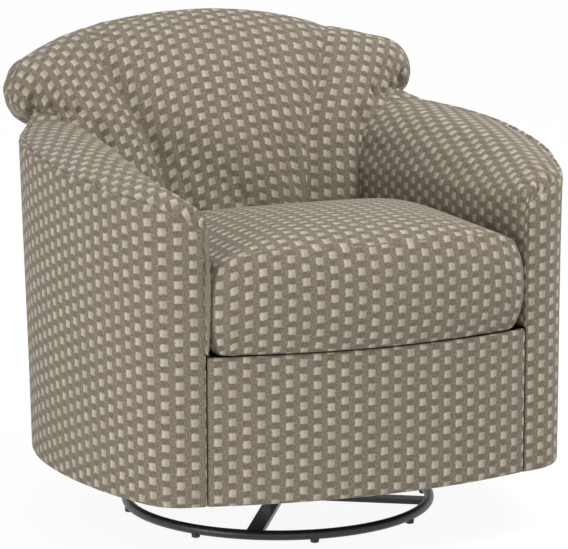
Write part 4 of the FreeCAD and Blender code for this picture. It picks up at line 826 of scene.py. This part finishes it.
def backPad():
    k = back
    ear, crest = np.array(k["ear"]), np.array(k["crest"])
    rise = crest - np.array([0, ear[1], ear[2]])
    sag = np.linalg.norm(rise)
    up = rise / sag
    radius = (ear[0] ** 2 + sag ** 2) / (2 * sag)
    spread = math.asin(ear[0] / radius)
    centre = crest - up * radius

    # stations across: g is 0 in the middle, 0.5 on a seam and 1 at an ear, then cap turns round the ear's end
    sideN, midN = k["sideCols"], k["midCols"]
    g = np.concatenate([np.linspace(-1, -0.5, sideN + 1), np.linspace(-0.5, 0.5, midN + 1)[1:-1],
                        np.linspace(0.5, 1, sideN + 1)])
    capA = np.radians(np.array(k["capTurns"]))
    cap = np.concatenate([-capA[::-1], np.zeros(len(g)), capA])
    g = np.concatenate([np.full(len(capA), -1.0), g, np.full(len(capA), 1.0)])
    lowN, highN, rollN = k["lowRows"], k["highRows"], k["rollRows"]
    rows = lowN + highN + rollN

    def stations(channelAt):
        a = np.abs(g)
        q = np.where(a < 0.5, a / 0.5 * channelAt, channelAt + (a - 0.5) / 0.5 * (1 - channelAt))
        return np.sign(g) * q

    # the roll: circles about an arc from ear to ear, closing to a round end
    qr = stations(k["channelRoll"])
    angle = qr * spread
    c = centre + radius * (np.sin(angle)[:, None] * np.array([1, 0, 0]) + np.cos(angle)[:, None] * up)
    tan = np.cos(angle)[:, None] * np.array([1, 0, 0]) - np.sin(angle)[:, None] * up
    r = k["rollRadius"] + (k["earRadius"] - k["rollRadius"]) * qr ** 2
    c = c + tan * (r * np.sin(cap))[:, None]
    r = r * np.cos(cap)
    lean = math.radians(k["lean"])
    e1 = np.tile(np.array([0, -math.cos(lean), math.sin(lean)]), (len(g), 1))
    e1 = e1 - tan * (e1 * tan).sum(1, keepdims=True)
    e1 = e1 / np.linalg.norm(e1, axis=1, keepdims=True)
    e2 = np.cross(tan, e1) * -1
    e2 = e2 * np.sign(e2[:, 2:3] + 1e-9)
    phi = np.radians(np.linspace(0, k["rollTurn"], rollN))[:, None]
    rollP = c[None] + r[None, :, None] * (np.cos(phi)[..., None] * e1[None] + np.sin(phi)[..., None] * e2[None])

    # the inner back: a smooth curve through foot, knee and the front of the roll
    def wide(z):
        return np.interp(z, k["wideAt"], k["wide"])
    qf, qk = stations(k["channelFoot"]), stations(k["channelKnee"])
    wing = smooth(np.abs(qk) * wide(k["kneeHigh"]), 0.10, 0.26)
    deep = np.sin(np.abs(cap)) * k["capDeep"]
    foot = np.stack([qf * wide(k["low"]), k["foot"] - k["wingFoot"] * wing + deep, 0 * g + k["low"]], axis=1)
    knee = np.stack([qk * wide(k["kneeHigh"]), k["knee"] - k["wingKnee"] * wing + deep, 0 * g + k["kneeHigh"]], axis=1)
    top = rollP[0]
    low = foot + (knee - foot) * np.array([0.5, 0.36, 0.56])
    high = knee + (top - knee) * np.array([0.5, 0.47, 0.52])
    below = 2 * foot - low
    past = rollP[6]
    keys = [below, foot, low, knee, high, top, past]

    def curve(i, t):
        # smooth join of four neighbouring points
        a, b, d, e = (keys[j][None] for j in (i - 1, i, i + 1, i + 2))
        t = t[:, None, None]
        return 0.5 * (2 * b + (d - a) * t + (2 * a - 5 * b + 4 * d - e) * t * t + (3 * b - a - 3 * d + e) * t ** 3)
    half = np.linspace(0, 1, lowN // 2 + 1)[:-1]
    upper = np.linspace(0, 1, highN // 2 + 1)[:-1]
    inner = np.concatenate([curve(1, half), curve(2, half), curve(3, upper), curve(4, upper)])
    p = np.concatenate([inner, rollP])

    # sewn channels drawn in along the two grid lines, padding between them
    n = gridNormals(p)
    n = n * np.sign(n[len(inner) // 2, len(g) // 2, 1]) * -1
    line = np.abs(np.abs(g) - 0.5)
    dist = line[None] * 0.275
    over = smooth(np.arange(rows), lowN + highN * 0.35, lowN + highN + 5)[:, None]
    depth = k["channel"] * (1 - 0.9 * over) * np.exp(-(dist / (k["channelWide"] - k["channelNarrow"] * over)) ** 2)
    puffed = k["padding"] * (1 - over) * (1 - np.exp(-(dist / 0.05) ** 2))
    ends = (1 - smooth(np.abs(cap), 0.2, 0.9))[None]
    p = p + n * ((puffed - depth) * ends)[..., None]
    turn = np.concatenate([np.zeros(len(inner)), phi[:, 0]])[:, None]
    gather = smooth(np.abs(g), 0.80, 1.0)[None] * smooth(turn, 0.1, 0.9) * np.cos(cap)[None] ** 0.6
    gather = gather * (1 - 0.85 * smooth(turn, 1.3, 2.4))
    p = p + n * (k["gather"] * np.sin(turn * 13 + 2.2 * np.abs(g)[None]) * gather)[..., None]

    v = along(p, 0)
    v = v - v[len(inner):len(inner) + 1]
    u, across = p[..., 0], along(p, 1)
    panels = []
    seamA = len(capA) + sideN
    seamB = seamA + midN
    cuts = [0, seamA, seamB, len(g) - 1]
    for i, (a, b) in enumerate(zip(cuts[:-1], cuts[1:])):
        # the middle is patterned straight, the sides by their distance from the seam
        vv = v[:, a:b + 1]
        seamAt = across[:, b:b + 1] if i == 0 else across[:, a:a + 1]
        uu = u[:, a:b + 1] if i == 1 else across[:, a:b + 1] - seamAt
        panels.append((p[:, a:b + 1], np.stack([uu + 0.0031 + 0.009 * i, vv + 0.005 * i], axis=-1)))
    t = np.linspace(0, 1, 20)[:, None, None]
    rear = np.stack([foot[:, 0], foot[:, 1] + k["rearDeep"], foot[:, 2]], axis=1)
    hidden = p[-1][None] * (1 - t) + rear[None] * t
    steps = t[:16:4]
    under = np.concatenate([rear[None] * (1 - steps) + p[0][None] * steps, p[0][None]])
    hiddenUv = np.stack([np.tile(u[-1], (len(hidden), 1)), v[-1][None] + along(hidden, 0)], axis=-1)
    panels += [(hidden, hiddenUv), (under, bareUv(under))]
    obj = sewn("pad_back", panels)
    seams = p[:, [seamA, seamB]].reshape(-1, 3)[::2]
    stay = np.concatenate([hidden[1:].reshape(-1, 3)[::3], under.reshape(-1, 3)[::3], p[:2].reshape(-1, 3)])[::3]
    puff(obj, lambda q: nearTo(q, seams, 0.006) | nearTo(q, stay, 0.016), k)
    creased(obj, backFolds)
    subdivided(obj)
    dressed(obj, "back_pad")


backPad()
print("back done")


# stage: pale floor, soft lights, camera at the photograph's angle

stage = {"floor": 0.84, "size": 14.0, "glow": 1.08, "glowShare": 0.86, "world": 0.46, "aim": (0, 0, 0.4)}
lamps = {"key": {"at": (-2.9, -1.1, 0.6), "size": 1.3, "power": 37.0},
         "top": {"at": (1.0, -0.9, 2.9), "size": 2.0, "power": 59.0},
         "fill": {"at": (-0.7, -3.4, 0.6), "size": 1.6, "power": 10.0},
         "rim": {"at": (0.6, 2.6, 2.6), "size": 2.2, "power": 2.0}}


def whereSeen(t, w, share, plain, shown):
    # one shader lights the scene, the other is what the eye sees directly, in a mirror or through glass
    path = t.nodes.new("ShaderNodeLightPath")
    through = w.math("MAXIMUM", path.outputs["Is Glossy Ray"], path.outputs["Is Transmission Ray"])
    seen = w.math("MAXIMUM", path.outputs["Is Camera Ray"], through)
    mixed = t.nodes.new("ShaderNodeMixShader")
    t.links.new(w.math("MULTIPLY", seen, share), mixed.inputs[0])
    t.links.new(plain.outputs[0], mixed.inputs[1])
    t.links.new(shown.outputs[0], mixed.inputs[2])
    return mixed.outputs[0]


def floorAndLights():
    k = stage
    mesh = bpy.data.meshes.new("floor")
    e = k["size"]
    mesh.from_pydata([(-e, -e, 0), (e, -e, 0), (e, e, 0), (-e, e, 0)], [], [(0, 1, 2, 3)])
    floor = bpy.data.objects.new("floor", mesh)
    scene.collection.objects.link(floor)
    m, t, bsdf, w = newMaterial("paleFloor")
    bsdf.inputs["Base Color"].default_value = (k["floor"], k["floor"], k["floor"], 1)
    bsdf.inputs["Roughness"].default_value = 0.95
    bsdf.inputs["Specular IOR Level"].default_value = 0.1
    glow = t.nodes.new("ShaderNodeEmission")
    glow.inputs["Strength"].default_value = k["glow"]
    t.links.new(whereSeen(t, w, k["glowShare"], bsdf, glow), t.nodes["Material Output"].inputs["Surface"])
    mesh.materials.append(m)
    for name, lit in lamps.items():
        lamp = bpy.data.lights.new(name, "AREA")
        lamp.size = lit["size"]
        lamp.energy = lit["power"]
        obj = bpy.data.objects.new(name, lamp)
        scene.collection.objects.link(obj)
        obj.location = lit["at"]
        d = np.array(k["aim"]) - np.array(lit["at"])
        obj.rotation_euler = (math.acos(-d[2] / np.linalg.norm(d)), 0, math.atan2(d[1], d[0]) - math.pi / 2)
    world = bpy.data.worlds.new("studio")
    scene.world = world
    world.use_nodes = True
    t = world.node_tree
    w = Wires(t)
    sky = t.nodes["Background"]
    sky.inputs["Strength"].default_value = k["world"]
    white = t.nodes.new("ShaderNodeBackground")
    sky.inputs["Color"].default_value = (1, 1, 1, 1)
    white.inputs["Color"].default_value = (1, 1, 1, 1)
    t.links.new(whereSeen(t, w, 1.0, sky, white), t.nodes["World Output"].inputs["Surface"])
    scene.view_settings.view_transform = "Standard"


photo = {"azimuth": -23.1, "elevation": 10.96, "distance": 5.576, "aimHigh": 0.42, "focal": 3420.0, "wide": 568.0,
         "shift": (-6.36, -21.83)}


def cameraAtPhoto():
    # the camera stands on a sphere about a point over the middle of the floor ring
    k = photo
    a, e = math.radians(k["azimuth"]), math.radians(k["elevation"])
    cam = bpy.data.cameras.new("photoCamera")
    cam.lens = k["focal"] * cam.sensor_width / k["wide"]
    cam.shift_x = -k["shift"][0] / k["wide"]
    cam.shift_y = k["shift"][1] / k["wide"]
    obj = bpy.data.objects.new("photoCamera", cam)
    scene.collection.objects.link(obj)
    d = k["distance"]
    flat = d * math.cos(e)
    obj.location = (flat * math.sin(a), -flat * math.cos(a), k["aimHigh"] + d * math.sin(e))
    obj.rotation_euler = (math.pi / 2 - e, 0, a)
    cam.clip_end = 100
    scene.camera = obj


floorAndLights()
cameraAtPhoto()
print("stage done")
